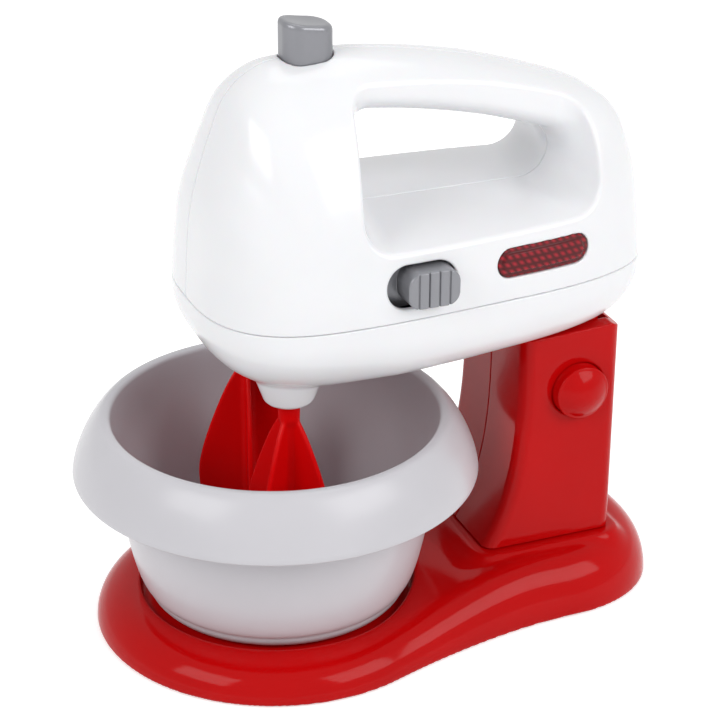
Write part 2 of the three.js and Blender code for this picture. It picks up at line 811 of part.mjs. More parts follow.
// Places in the lower housing
const trayTop = partingHeight - gap / 2;
const beaterY = (side) => (side * beaterSpacing) / 2;
const bushingBottom = nozzleTip + wall;
const bushingTop = bushingBottom + bushingLength;
const gearPosts = bothSides.flatMap((side) => [
  [beaterX - gearPostReach, side * gearPostFrontY], [beaterX + gearPostReach, side * gearPostRearY]]);
const gearScrewPosts = gearPosts.filter(([x]) => x > beaterX);
const gearPlateBottom = wheelHeight + wheelFace;
const gearPlateTop = gearPlateBottom + gearPlateThickness;
const bayFront = cellFront - bayEndGap;
const bayRear = cellFront + cellLength + gap;
const bayHalfWidth = cellSpacing / 2 + cellRadius + bayBorder;
const doorRear = bayRear + doorRearLap;
const doorHalfWidth = bayHalfWidth + doorSideLap;
const doorScrewX = doorFront + doorScrewInset;
const doorBossTop = trayBottom + doorBossHeight;
const cellZ = trayFloor(bayRear) + doorThickness + gap * 3 + cellRadius;
const boxRear = bayRear + contactRoom;
const boxTop = cellZ + cellRadius + gap + boxRoof;

const nozzleRoot = bushingTop + collarHeight * 2;

function nozzle(side) {
  const skirt = nozzleRound / 4;
  return turned([[0, nozzleTip], [nozzleTipRadius - nozzleRound, nozzleTip],
    [nozzleTipRadius - skirt, nozzleTip + skirt], [nozzleTipRadius, nozzleTip + nozzleRound],
    [nozzleTopRadius - skirt, trayBottom - skirt], [nozzleTopRadius, trayBottom + skirt],
    [nozzleTopRadius, nozzleRoot], [0, nozzleRoot]], beaterX, beaterY(side), 18);
}

function nozzleBore(side) {
  const y = beaterY(side);
  return join(rodZ(bushingRadius + gap, beaterX, y, bushingBottom - gap, trayTop, 16),
    rodZ((bushingRadius + spindleRadius) / 2, beaterX, y, nozzleTip - overrun, bushingBottom, 16));
}

// Slab that follows the underside where the battery door is, between two heights above it
function floorSlab(grow, low, high) {
  const stops = [doorFront - grow, trayKnee, doorRear + grow];
  const lower = stops.map((x) => new THREE.Vector2(x, trayFloor(x) + low));
  const upper = stops.map((x) => new THREE.Vector2(x, trayFloor(x) + high)).reverse();
  return across(new THREE.Shape([...lower, ...upper]), -doorHalfWidth - grow, doorHalfWidth + grow);
}

// Tray: the lower housing with two beater nozzles
function tray() {
  const shell = cut(trayBody(0, trayTop), trayBody(wall, trayTop + overrun));
  const posts = gearPosts.map(([x, y]) => rodZ(gearPostRadius, x, y, trayBottom, gearPlateBottom - gap, 10));
  const screwPosts = bothSides.map((side) => rodZ(bossRadius, trayBossX, side * trayBossY,
    trayBottom, trayTop, 12));
  const doorBoss = rodZ(doorBossRadius, doorScrewX, 0, trayBottom, doorBossTop, 12);
  const thickFloor = floorSlab(doorLedge, wall / 2, wall + doorThickness);
  const inside = join(trayBody(wall / 2, trayTop), box(-tailReach, tailReach, -headHalfWidth, headHalfWidth,
    trayTop - gap, gearPlateBottom));
  const fittings = join(...posts, ...screwPosts, doorBoss).intersect(inside);
  const bay = box(bayFront, bayRear, -bayHalfWidth, bayHalfWidth, 0, trayTop);
  const holes = bothSides.flatMap((side) => [
    rodZ(pegRadius + gap, pegX, side * pegY, 0, trayTop, 14),
    rodZ(screwHoleRadius, trayBossX, side * trayBossY, 0, trayTop + overrun, 10),
    rodZ(counterboreRadius, trayBossX, side * trayBossY, 0, trayTop - trayScrewSeat, 12),
  ]);
  const gearPilots = gearScrewPosts.map(([x, y]) => rodZ(pilotRadius, x, y, gearPlateBottom - gearScrewLength,
    gearPlateBottom, 8));
  const doorPilot = rodZ(pilotRadius, doorScrewX, 0, 0, doorBossTop - doorScrewHead, 8);
  return cut(join(shell, thickFloor, fittings, ...bothSides.map(nozzle)), ...bothSides.map(nozzleBore),
    ...holes, ...gearPilots, doorPilot, bay, floorSlab(gap, -overrun, doorThickness + gap));
}

part('housing_tray', tray(), white);
bothSides.forEach((side) => {
  part(`tray_screw_${handOf(side)}`, screwZ(trayBossX, side * trayBossY,
    trayTop - trayScrewSeat - gap - screwHeadHeight, longScrew), steel);
});

// Battery door with its screw, battery box, cells and contacts
function batteryDoor() {
  return cut(floorSlab(0, 0, doorThickness), rodZ(screwHoleRadius, doorScrewX, 0, 0, trayTop, 10),
    rodZ(screwHeadRadius + gap, doorScrewX, 0, 0,
      trayBottom + doorScrewSink + doorScrewHead + gap, 12));
}

// The motor's can, grown by grow, with its flat sides at the top and bottom
const motorCan = (grow) => rodX(motorRadius + grow, 0, wheelHeight, motorFront - grow,
  motorFront + motorLength + grow, 20).intersect(box(0, motorFront + motorLength * 2, -motorRadius * 2,
  motorRadius * 2, wheelHeight - motorFlat - grow, wheelHeight + motorFlat + grow));

function batteryBox() {
  const block = box(bayFront - boxWall, boxRear + boxWall, -bayHalfWidth - boxWall, bayHalfWidth + boxWall,
    trayBottom, boxTop);
  const outer = cut(block.intersect(trayBody(wall + gap, trayTop)),
    floorSlab(doorLedge + gap, 0, wall + doorThickness + gap));
  const inner = box(bayFront, boxRear, -bayHalfWidth, bayHalfWidth, 0, boxTop - boxRoof);
  const saddle = (x) => box(x, x + saddleThickness, -motorRadius - saddleThickness,
    motorRadius + saddleThickness, boxTop - boxRoof, boxTop + saddleRise);
  const saddles = [bayFront, motorFront + motorLength - saddleThickness * 2].map(saddle);
  return cut(join(outer, ...saddles), inner, motorCan(gap),
    rodZ(doorBossRadius + gap, doorScrewX, 0, 0, doorBossTop + gap, 12));
}

function cell(side) {
  const y = (side * cellSpacing) / 2;
  const [x0, x1] = side < 0 ? [cellFront, cellFront + cellLength - cellNub]
    : [cellFront + cellNub, cellFront + cellLength];
  const nub = rodX(cellNubRadius, y, cellZ, cellFront + (side < 0 ? cellNub : 0),
    cellFront + cellLength - (side < 0 ? 0 : cellNub), 10);
  return join(rodX(cellRadius, y, cellZ, x0, x1, 20), nub);
}

function endContact(side) {
  const y = (side * cellSpacing) / 2;
  return join(box(boxRear - gap - contactThickness, boxRear - gap, y - contactHalfWidth, y + contactHalfWidth,
    cellZ - contactHalfWidth + gap, cellZ + contactHalfWidth),
  rodX(contactButtonRadius, y, cellZ, bayRear + gap / 2, boxRear - gap - contactThickness / 2, 10));
}

part('battery_door', batteryDoor(), white);
part('battery_door_screw', screwZ(doorScrewX, 0, trayBottom + doorScrewSink - gap, shortScrew, 1,
  doorScrewHead), steel);
part('battery_box', batteryBox(), darkPlastic);
bothSides.forEach((side) => {
  part(`cell_${handOf(side)}`, cell(side), cellGreen);
  part(`contact_${handOf(side)}`, endContact(side), steel);
});
part('contact_bridge', box(bayFront + gap, bayFront + gap + contactThickness,
  -cellSpacing / 2 - contactHalfWidth, cellSpacing / 2 + contactHalfWidth,
  cellZ - contactHalfWidth, cellZ + contactHalfWidth), steel);

// Motor, worm and wheels
const bearingFront = beaterX - bearingReach;
const wheelPitchRadius = beaterSpacing / 2 - wormPitchRadius;
const wormPitch = (2 * Math.PI * wheelPitchRadius) / wheelTeeth;
const flankShare = Math.tan(THREE.MathUtils.degToRad(20));
const toothHalf = (wormPitch - toothBacklash) / 4;

function motor() {
  const nose = rodX(motorNoseRadius, 0, wheelHeight, motorFront - motorNoseLength, motorFront + overrun, 16);
  return cut(join(motorCan(0), nose), rodX(motorShaftRadius + gap, 0, wheelHeight, motorFront - overrun,
    motorFront + motorBoreDepth, 12));
}

function worm() {
  const stepsPerTurn = 11;
  const half = (wormPitch * wormTurns) / 2;
  const rootRadius = wormPitchRadius - toothDedendum;
  const core = rodX(rootRadius, 0, wheelHeight, beaterX - half - wormShoulder,
    beaterX + half + wormShoulder, 16);
  const shaft = rodX(motorShaftRadius, 0, wheelHeight, bearingFront - motorShaftRadius,
    motorFront + motorShaftDepth, 12);
  const section = [[-toothDedendum - gap, -1], [toothAddendum, -1], [toothAddendum, 1],
    [-toothDedendum - gap, 1]];
  const rings = Array.from({ length: stepsPerTurn * wormTurns + 1 }, (_, i) => {
    const turn = i / stepsPerTurn - wormTurns / 2;
    const angle = turn * Math.PI * 2;
    return section.map(([depth, hand]) => {
      const reach = wormPitchRadius + depth;
      const aside = hand * (toothHalf - depth * flankShare);
      return [beaterX + turn * wormPitch + aside, reach * Math.cos(angle),
        wheelHeight + reach * Math.sin(angle)];
    });
  });
  return join(core, shaft, loft(rings));
}

// Wheel whose teeth stand between the worm's threads on its side
function wheel(side) {
  const y = beaterY(side);
  const phase = side < 0 ? Math.PI / wheelTeeth : 0;
  const corners = [[-toothDedendum, -1], [toothAddendum, -1], [toothAddendum, 1], [-toothDedendum, 1]];
  const points = Array.from({ length: wheelTeeth }, (_, i) => corners.map(([depth, hand]) => {
    const reach = wheelPitchRadius + depth;
    const angle = phase + (i / wheelTeeth) * Math.PI * 2 + (hand * (toothHalf - depth * flankShare)) / reach;
    return new THREE.Vector2(beaterX + reach * Math.cos(angle), y + reach * Math.sin(angle));
  })).flat();
  const rim = slab(new THREE.Shape(points), wheelHeight - wheelFace / 2, wheelHeight + wheelFace / 2);
  const hub = rodZ(wheelHubRadius, beaterX, y, wheelHeight - wheelFace, gearPlateBottom - gap, 16);
  return cut(join(rim, hub), rodZ(spindleRadius + gap, beaterX, y, 0, gearPlateTop, 16));
}

// Spindles, bushings and the plate over the wheels
const spindleTop = gearPlateTop + spindleRise;
const forkBottom = gearPlateTop + ejectTravel + forkClearance;
const forkTop = forkBottom + forkThickness;
const forkPinTip = spindleTop - forkPinReach;

function spindle(side) {
  const y = beaterY(side);
  const tube = rodZ(spindleRadius, beaterX, y, bushingBottom - gap * 3, spindleTop, 16);
  const collar = rodZ(collarRadius, beaterX, y, bushingTop + gap, bushingTop + gap + collarHeight, 16);
  return cut(join(tube, collar), rodZ(spindleBore, beaterX, y, nozzleTip, spindleTop + overrun, 14));
}

function bushing(side) {
  const y = beaterY(side);
  return cut(rodZ(bushingRadius, beaterX, y, bushingBottom, bushingTop, 16),
    rodZ(spindleRadius + runningGap, beaterX, y, nozzleTip, bushingTop + overrun, 16));
}

function gearPlate() {
  const [x0, x1] = [beaterX - gearPostReach - gearPostRadius + gearPlateSetback,
    beaterX + gearPostReach + gearPostRadius];
  const [y0, y1] = [gearPostFrontY + gearPostRadius, gearPostRearY + gearPostRadius];
  const shape = new THREE.Shape([[x0, -y0], [beaterX, -y1], [x1, -y1], [x1, y1], [beaterX, y1], [x0, y0]]
    .map(([x, y]) => new THREE.Vector2(x, y)));
  const bearing = box(bearingFront, bearingFront + bearingThickness, -bearingHalfWidth, bearingHalfWidth,
    wheelHeight - bearingDrop, gearPlateTop - gap);
  const spindleHoles = bothSides.map((side) => rodZ(spindleRadius + runningGap, beaterX, beaterY(side), 0,
    gearPlateTop + overrun, 16));
  const screwHoles = gearScrewPosts.map(([x, y]) => rodZ(screwHoleRadius, x, y, 0,
    gearPlateTop + overrun, 10));
  const motorNotch = box(motorFront - gap * 2, x1 + overrun, -motorRadius - gap * 2, motorRadius + gap * 2,
    0, gearPlateTop + overrun);
  return cut(join(slab(shape, gearPlateBottom, gearPlateTop), bearing), motorNotch, ...spindleHoles,
    ...screwHoles, rodX(motorShaftRadius + runningGap, 0, wheelHeight, bearingFront - overrun, beaterX, 12));
}

part('motor', motor(), steel);
part('worm', worm(), milky);
part('gear_plate', gearPlate(), milky);
gearScrewPosts.forEach(([x, y]) => {
  part(`gear_plate_screw_${handOf(y)}`, screwZ(x, y, gearPlateTop + gap + screwHeadHeight,
    gearScrewLength, -1), steel);
});

// Beaters: four leaf blades on a core, with a shaft that plugs into the spindle
const leafShares = [[0.17, 1], [0.42, 0.87], [0.7, 0.67], [0.92, 0.47], [1, 0.32], [0.93, 0.16],
  [0.72, 0.05], [0.36, 0]];
const beaterTurnDegrees = [37, 73];

function beater(side) {
  const y = beaterY(side);
  const height = beaterTop - beaterBottom;
  const edge = new THREE.SplineCurve(leafShares.map(([r, h]) => new THREE.Vector2(r * beaterRadius,
    beaterBottom + h * height))).getPoints(12);
  const farEdge = edge.slice().reverse().map((point) => new THREE.Vector2(-point.x, point.y));
  const shape = new THREE.Shape([...edge, ...farEdge]);
  const turn = beaterTurnDegrees[side < 0 ? 0 : 1];
  const blades = [0, 90].map((more) => {
    const geometry = new THREE.ExtrudeGeometry(shape, { depth: bladeThickness, bevelEnabled: false });
    return solid(geometry.translate(0, 0, -bladeThickness / 2).rotateX(Math.PI / 2)
      .rotateZ(THREE.MathUtils.degToRad(turn + more)).translate(beaterX, y, 0));
  });
  const hubTop = nozzleTip - gap * 2;
  const stem = turned([[0, beaterBottom + beaterCoreRise], [beaterCoreRadius, beaterBottom + beaterCoreRise],
    [beaterCoreRadius, beaterTop - beaterHubTaper], [beaterHubRadius, beaterTop], [beaterHubRadius, hubTop],
    [beaterShaftRadius, hubTop], [beaterShaftRadius, forkPinTip - gap], [0, forkPinTip - gap]],
  beaterX, y, 14);
  return join(stem, ...blades);
}

bothSides.forEach((side) => {
  part(`spindle_${handOf(side)}`, spindle(side), steel);
  part(`worm_wheel_${handOf(side)}`, wheel(side), milky);
  part(`bushing_${handOf(side)}`, bushing(side), brass);
  part(`beater_${handOf(side)}`, beater(side), red);
});

// Eject button, its fork and its return spring
const capFoot = ejectTop - ejectCapDepth;
const ejectDishBall = (ejectDishRadius ** 2 / 4 + ejectDishDepth ** 2) / (2 * ejectDishDepth);

function ejectFork() {
  const bar = box(beaterX - forkHalfWidth, beaterX + forkHalfWidth, beaterY(-1) - forkHalfWidth,
    beaterY(1) + forkHalfWidth, forkBottom, forkTop);
  const tongue = box(beaterX, stemX + stemRadius, -forkTongueHalfWidth, forkTongueHalfWidth,
    forkBottom, forkTop);
  const stem = join(rodZ(stemRadius, stemX, 0, forkBottom, ejectTop - ejectCapRoof - gap, 14),
    rodZ(stemCollarRadius, stemX, 0, capFoot, capFoot + ejectCapWall, 14));
  const pins = bothSides.map((side) => rodZ(forkPinRadius, beaterX, beaterY(side), forkPinTip, forkTop, 12));
  return join(bar, tongue, stem, ...pins);
}

function ejectButton() {
  const flange = slab(ejectOutline(ejectFlange), capFoot, capFoot + ejectCapWall, 4);
  const cap = join(slab(ejectOutline(0), capFoot, ejectTop, 4), flange);
  const dish = new THREE.SphereGeometry(ejectDishBall, 48, 24).translate((ejectFront + ejectRear) / 2, 0,
    ejectTop + ejectDishBall - ejectDishDepth);
  const above = box(0, ejectRear * 2, -headHalfWidth, headHalfWidth, ejectTop, ejectTop + ejectCapDepth);
  const sloping = join(above, solid(dish)).translate([-ejectFront, 0, -ejectTop])
    .rotate([0, ejectSlopeDegrees, 0]).translate([ejectFront, 0, ejectTop]);
  return cut(cap, slab(ejectOutline(-ejectCapWall), capFoot - overrun, ejectTop - ejectCapRoof, 3), sloping);
}

const ejectSpringFoot = webHeight + webThickness + gap;
part('eject_button', ejectButton(), controlGrey);
part('eject_fork', ejectFork(), milky);
part('eject_spring', moved(coil(ejectSpringRadius, springWire, capFoot - gap - ejectSpringFoot, 5),
  ([x, y, z]) => [x + stemX, y, z + ejectSpringFoot]), steel);

// Stand column, moulded in two halves
const footTop = pedestalTop + gap;
const columnTop = trayFloor(columnRear) + columnRearRise;
const columnInnerY = columnHalfWidth - wall;
const columnSweepShare = 3.6;
const columnRingShare = 1.3;
const columnJoints = [[lowerJointX, lowerJointZ], [upperJointX, upperJointZ]];

function columnFrontAt(z) {
  const down = Math.max(0, (columnFrontTop - z) / (columnFrontTop - pedestalTop));
  return columnFront - columnFootSweep * down ** columnSweepShare;
}

const ringOf = (shape, z) => shape.getPoints(2).slice(0, -1).map((point) => [point.x, point.y, z]);

function columnBody(inset, foot, top) {
  const steps = 6;
  return loft(Array.from({ length: steps + 1 }, (_, i) => {
    const z = foot + (top - foot) * (i / steps) ** columnRingShare;
    return ringOf(roundedShape(columnFrontAt(z) + inset, columnRear - inset, -columnHalfWidth + inset,
      columnHalfWidth - inset, columnCorner - inset * insideShare), z);
  }));
}

// Everything above a plane that lies drop below the tray, tilted with it about the hinge
function aboveTilted(drop, degrees) {
  const [x0, x1] = [trayKnee, headAxisX + tailReach];
  const shape = new THREE.Shape();
  shape.moveTo(x0, trayFloor(x0) - drop);
  shape.lineTo(x1, trayFloor(x1) - drop);
  shape.lineTo(x1, partingHeight * 2);
  shape.lineTo(x0, partingHeight * 2);
  return across(shape, -headHalfWidth, headHalfWidth).translate([-hingeX, 0, -hingeZ])
    .rotate([0, degrees, 0]).translate([hingeX, 0, hingeZ]);
}

// Bosses and holes that only the left half or only the right half has
function leftColumn(body, inside) {
  const pad = rodY(releasePadRadius, releaseX, releaseZ, -columnHalfWidth, -columnInnerY + releasePad, 24);
  const dishBall = (releaseDishRadius ** 2 + releaseDish ** 2) / (2 * releaseDish);
  const ball = new THREE.SphereGeometry(dishBall, 24, 64)
    .translate(releaseX, -columnHalfWidth - dishBall + releaseDish, releaseZ);
  const pilots = columnJoints.map(([x, z]) => rodY(pilotRadius, x, z, -halfJointY - overrun, overrun, 8));
  return cut(join(body, pad.intersect(inside)), solid(ball), ...pilots,
    rodY(releaseRadius + gap, releaseX, releaseZ, -columnHalfWidth - overrun, 0, 24));
}

function rightColumn(body) {
  const stemBoss = rodY(releaseBossRadius, releaseX, releaseZ, releaseBossEnd, columnInnerY + gap, 16);
  const screwHoles = columnJoints.map(([x, z]) => join(
    rodY(screwHoleRadius, x, z, -overrun, columnHalfWidth, 10),
    rodY(counterboreRadius, x, z, halfJointY, columnHalfWidth + overrun, 12)));
  return cut(join(body, stemBoss), ...screwHoles, rodY(releaseStemRadius + runningGap, releaseX,
    releaseZ, releaseBossEnd - overrun, columnInnerY - overrun, 16));
}

function columnHalf(side) {
  const [near, far] = side < 0 ? [-columnHalfWidth, -gap / 2] : [gap / 2, columnHalfWidth];
  const inside = columnBody(wall / 2, footTop, columnTop);
  const shell = cut(columnBody(0, footTop, columnTop),
    columnBody(wall, footTop - overrun, columnTop + overrun));
  const half = shell.intersect(box(0, columnRear * 2, near, far, 0, columnTop * 2));
  const jointBosses = columnJoints.map(([x, z]) => rodY(bossRadius, x, z, near, far, 12));
  const footBoss = rodZ(bossRadius, columnFootScrewX, side * columnFootScrewY, footTop,
    footTop + columnFootBoss, 12);
  const hingeBoss = rodY(hingeBarrelRadius + hingeBossWall, hingeX, hingeZ,
    side < 0 ? -columnHalfWidth : columnInnerY - hingeBossReach,
    side < 0 ? hingeBossReach - columnInnerY : columnHalfWidth, 16);
  const ledge = box(cradleFront, columnRear, side < 0 ? -columnHalfWidth : cradleHalfWidth + ledgeClear,
    side < 0 ? -cradleHalfWidth - ledgeClear : columnHalfWidth, hingeZ + ledgeRise, columnTop);
  const fittings = join(...jointBosses, footBoss, hingeBoss, ledge).intersect(inside);
  const body = join(half, fittings);
  const tilts = Array.from({ length: tiltDegrees / tiltStepDegrees }, (_, i) =>
    aboveTilted(gap * 2, (i + 1) * tiltStepDegrees));
  return cut(side < 0 ? leftColumn(body, inside) : rightColumn(body), aboveTilted(columnTopStep, 0), ...tilts,
    rodZ(pilotRadius, columnFootScrewX, side * columnFootScrewY, 0, footTop + columnFootBoss - wall, 8),
    rodY(hingePinRadius + gap, hingeX, hingeZ, -columnInnerY, columnInnerY, 12));
}

part('column_left', columnHalf(-1), red);
part('column_right', columnHalf(1), red);
columnJoints.forEach(([x, z], i) => {
  part(`column_screw_${i + 1}`, screwY(x, z, halfJointY + gap + screwHeadHeight, screwLength), steel);
});

// Tilting cradle under the head, with its pin
const latchOuter = -cradleHalfWidth;
const latchInner = latchOuter + latchThickness;

function cradle() {
  const plate = box(cradleFront, hingeX, -cradleHalfWidth, cradleHalfWidth, hingeZ - cradleFoot, pegTop);
  const hollow = box(cradleFront + cradleWall, hingeX - hingeBarrelRadius - cradleWall,
    cradleWall - cradleHalfWidth, cradleHalfWidth - cradleWall, 0, hingeZ + cradleRoof);
  const pegs = bothSides.map((side) => rodZ(pegRadius, pegX, side * pegY, hingeZ, pegTop, 14));
  const barrel = rodY(hingeBarrelRadius, hingeX, hingeZ, -cradleHalfWidth, cradleHalfWidth, 18);
  const quadrant = rodY(quadrantRadius, hingeX, hingeZ, latchOuter, latchInner, 32).intersect(
    box(hingeX - quadrantRadius, hingeX + quadrantLap, latchOuter, latchInner,
      hingeZ - quadrantRadius, hingeZ));
  return cut(join(cut(plate, aboveTilted(gap, 0), hollow), barrel, quadrant, ...pegs),
    rodY(hingePinRadius + gap, hingeX, hingeZ, -columnHalfWidth, columnHalfWidth, 12));
}

part('tilt_cradle', cradle(), red);
part('hinge_pin', rodY(hingePinRadius, hingeX, hingeZ, gap - columnInnerY, columnInnerY - gap, 12), steel);

// Release button, its latch tooth and its return spring
const flangeY = -columnInnerY + releasePad + gap;

function releaseButton() {
  const face = -columnHalfWidth - releaseProud;
  const dome = Array.from({ length: 4 }, (_, i) => {
    const angle = (i / 3) * (Math.PI / 2);
    return [releaseRadius * Math.sin(angle), face + releaseDome * (1 - Math.cos(angle))];
  });
  const flangeRadius = releaseRadius + releaseFlange;
  const flangeEnd = flangeY + releaseFlangeThickness;
  const body = turnedY([...dome, [releaseRadius, flangeY], [flangeRadius, flangeY], [flangeRadius, flangeEnd],
    [releaseStemRadius, flangeEnd], [releaseStemRadius, releaseStemEnd], [0, releaseStemEnd]],
  releaseX, releaseZ, 24);
  const rearFlat = box(columnRear - wall - gap * 2, columnRear, face, releaseStemEnd, 0, hingeZ);
  const topFlat = box(0, columnRear, flangeY, releaseStemEnd, hingeZ - quadrantRadius - gap, hingeZ);
  return cut(body, rearFlat, topFlat);
}

function releaseLatch() {
  const ring = rodY(releaseStemRadius + latchRing, releaseX, releaseZ, latchOuter, latchInner, 16);
  const toothX = hingeX - latchSetback;
  const tooth = box(toothX - latchToothHalfWidth, toothX + latchToothHalfWidth, latchOuter, latchInner,
    releaseZ + releaseStemRadius + gap * 2, hingeZ - quadrantRadius - gap);
  return cut(join(ring, tooth), rodY(releaseStemRadius + gap, releaseX, releaseZ, -columnHalfWidth, 0, 16));
}

part('release_button', releaseButton(), red);
part('release_latch', releaseLatch(), milky);
const releaseSpringFoot = latchInner + gap;
const releaseSpringLength = releaseBossEnd - gap - releaseSpringFoot;
part('release_spring', moved(coil(releaseSpringRadius, springWire, releaseSpringLength, 4),
  ([x, y, z]) => [releaseX + x, releaseSpringFoot + z, releaseZ + y]), steel);

// Outline of one side of the base, from the front of the rim round to the rear
const waistAngle = THREE.MathUtils.degToRad(70);
const rearSharpnessShare = 2.3;

function baseSide() {
  const frontSteps = 7;
  const waistSteps = 5;
  const rearSteps = 6;
  const points = Array.from({ length: frontSteps }, (_, i) => {
    const angle = Math.PI - ((Math.PI - waistAngle) * i) / frontSteps;
    return [baseFrontRadius * Math.cos(angle), baseFrontRadius * Math.sin(angle)];
  });
  points[0] = [-baseFrontRadius, 0];
  const [sx, sy] = [baseFrontRadius * Math.cos(waistAngle), baseFrontRadius * Math.sin(waistAngle)];
  const curve = new THREE.CubicBezierCurve(new THREE.Vector2(sx, sy),
    new THREE.Vector2(sx + baseWaistLead * Math.sin(waistAngle), sy - baseWaistLead * Math.cos(waistAngle)),
    new THREE.Vector2(baseRearStart - baseWaistTrail, baseRearHalfWidth),
    new THREE.Vector2(baseRearStart, baseRearHalfWidth));
  curve.getPoints(waistSteps).slice(0, -1).forEach((point) => points.push([point.x, point.y]));
  for (let i = 0; i < rearSteps; i += 1) {
    const [along, out] = superPoint((Math.PI / 2) * (1 - i / rearSteps), rearSharpnessShare);
    points.push([baseRearStart + along * (baseRearReach - baseRearStart), out * baseRearHalfWidth]);
  }
  return [...points, [baseRearReach, 0]];
}

const upperSide = baseSide();
const baseOutline = [...upperSide, ...upperSide.slice(1, -1).reverse().map(([x, y]) => [x, -y])];

// Outline of the base, drawn in by inset
function baseRing(inset, z) {
  const count = baseOutline.length;
  return baseOutline.map(([x, y], i) => {
    const [ax, ay] = baseOutline[(i + count - 1) % count];
    const [bx, by] = baseOutline[(i + 1) % count];
    const length = Math.hypot(bx - ax, by - ay);
    return [x + (inset * (by - ay)) / length, y - (inset * (bx - ax)) / length, z];
  });
}

// Height of the rim's crest, which climbs from the bowl to the column
const baseRimTop = (x) => baseRimHeight
  + (baseRimRear - baseRimHeight) * THREE.MathUtils.smoothstep(x, baseClimbStart, baseClimbEnd);

function rimBody(inset, foot) {
  const steps = inset > 0 ? 3 : 5;
  const rings = [baseRing(inset, foot)];
  for (let i = 1; i <= steps; i += 1) {
    const angle = (i / steps) * (Math.PI / 2);
    const ring = baseRing(inset + baseRimInset * (1 - Math.cos(angle)), 0);
    rings.push(ring.map(([x, y]) => [x, y,
      baseLift + (baseRimTop(x) - baseLift) * Math.sin(angle) - inset]));
  }
  return loft(rings, mirrorCap);
}

function pedestalBody(inset) {
  const front = columnFrontAt(pedestalTop);
  const block = loft([[pedestalSpread, pedestalFrontSpread, baseRimHeight - wall], [0, 0, pedestalTop]]
    .map(([spread, forward, z]) => {
      const margin = pedestalMargin + spread - inset;
      return ringOf(roundedShape(front - pedestalMargin - forward + inset, columnRear + margin,
        -columnHalfWidth - margin, columnHalfWidth + margin, columnCorner + pedestalMargin + spread / 2),
      z - inset);
    }));
  return block.intersect(loft([baseRing(pedestalClear + inset, 0), baseRing(pedestalClear + inset, pedestalTop)],
    mirrorCap));
}

// Base: a rounded rim, a pedestal under the column and a well for the bowl
const plateBottom = footHeight;
const plateTop = plateBottom + plateThickness;
const mirrored = (x, y) => bothSides.map((side) => [x, side * y]);
const frontPostAngle = THREE.MathUtils.degToRad(frontPostDegrees);
const frontPostReach = baseFrontRadius - frontPostMargin;
const frontPostX = -frontPostReach * Math.cos(frontPostAngle);
const frontPostY = frontPostReach * Math.sin(frontPostAngle);
const basePosts = [...mirrored(frontPostX, frontPostY), ...mirrored(rearPostX, rearPostY)];
const feet = [...mirrored(frontFootX, frontFootY), ...mirrored(rearFootX, rearFootY)];
const well = (grow) => rodZ(wellRadius + grow, 0, 0, wellFloor - grow, pedestalTop + overrun,
  grow > 0 ? 28 : 36);

function baseShell() {
  const outer = cut(join(rimBody(0, baseLift), pedestalBody(0)), well(0));
  const cavity = cut(join(rimBody(wall, -overrun), pedestalBody(wall)), well(wall));
  const inside = cut(join(rimBody(wall / 2, baseLift), pedestalBody(wall / 2)), well(wall / 2));
  const posts = basePosts.map(([x, y]) => rodZ(bossRadius, x, y, plateTop + gap, pedestalTop, 10));
  const pilots = basePosts.map(([x, y]) => rodZ(pilotRadius, x, y, 0, wellFloor - wall + gap, 8));
  const footHoles = mirrored(columnFootScrewX, columnFootScrewY).map(([x, y]) => rodZ(screwHoleRadius, x, y,
    0, pedestalTop + overrun, 10));
  return cut(join(cut(outer, cavity), join(...posts).intersect(inside)), ...pilots, ...footHoles);
}

function basePlate() {
  const sheet = loft([baseRing(plateInset, plateBottom), baseRing(plateInset, plateTop)], mirrorCap);
  return cut(sheet, ...basePosts.map(([x, y]) => rodZ(screwHoleRadius, x, y, 0, pedestalTop, 8)),
    ...feet.map(([x, y]) => rodZ(footStudRadius + gap, x, y, 0, pedestalTop, 10)));
}

part('base_shell', baseShell(), red);
part('base_plate', basePlate(), red);
basePosts.forEach(([x, y], i) => {
  part(`base_screw_${i + 1}`, screwZ(x, y, plateBottom - gap - baseHeadHeight, shortScrew, 1,
    baseHeadHeight), steel);
});
feet.forEach(([x, y], i) => {
  part(`foot_${i + 1}`, join(rodZ(footRadius, x, y, 0, footHeight - gap, 16),
    rodZ(footStudRadius, x, y, footStudRoot, plateTop, 10)), rubber);
});
mirrored(columnFootScrewX, columnFootScrewY).forEach(([x, y]) => {
  part(`column_foot_screw_${handOf(y)}`, screwZ(x, y, pedestalTop - wall - gap - screwHeadHeight,
    screwLength), steel);
});

// Bowl
const bowlFloorZ = wellFloor + gap;
const bowlSwellShare = 0.56;
const bowlRingShare = 1.5;
const flangeSharpnessShare = 1.35;

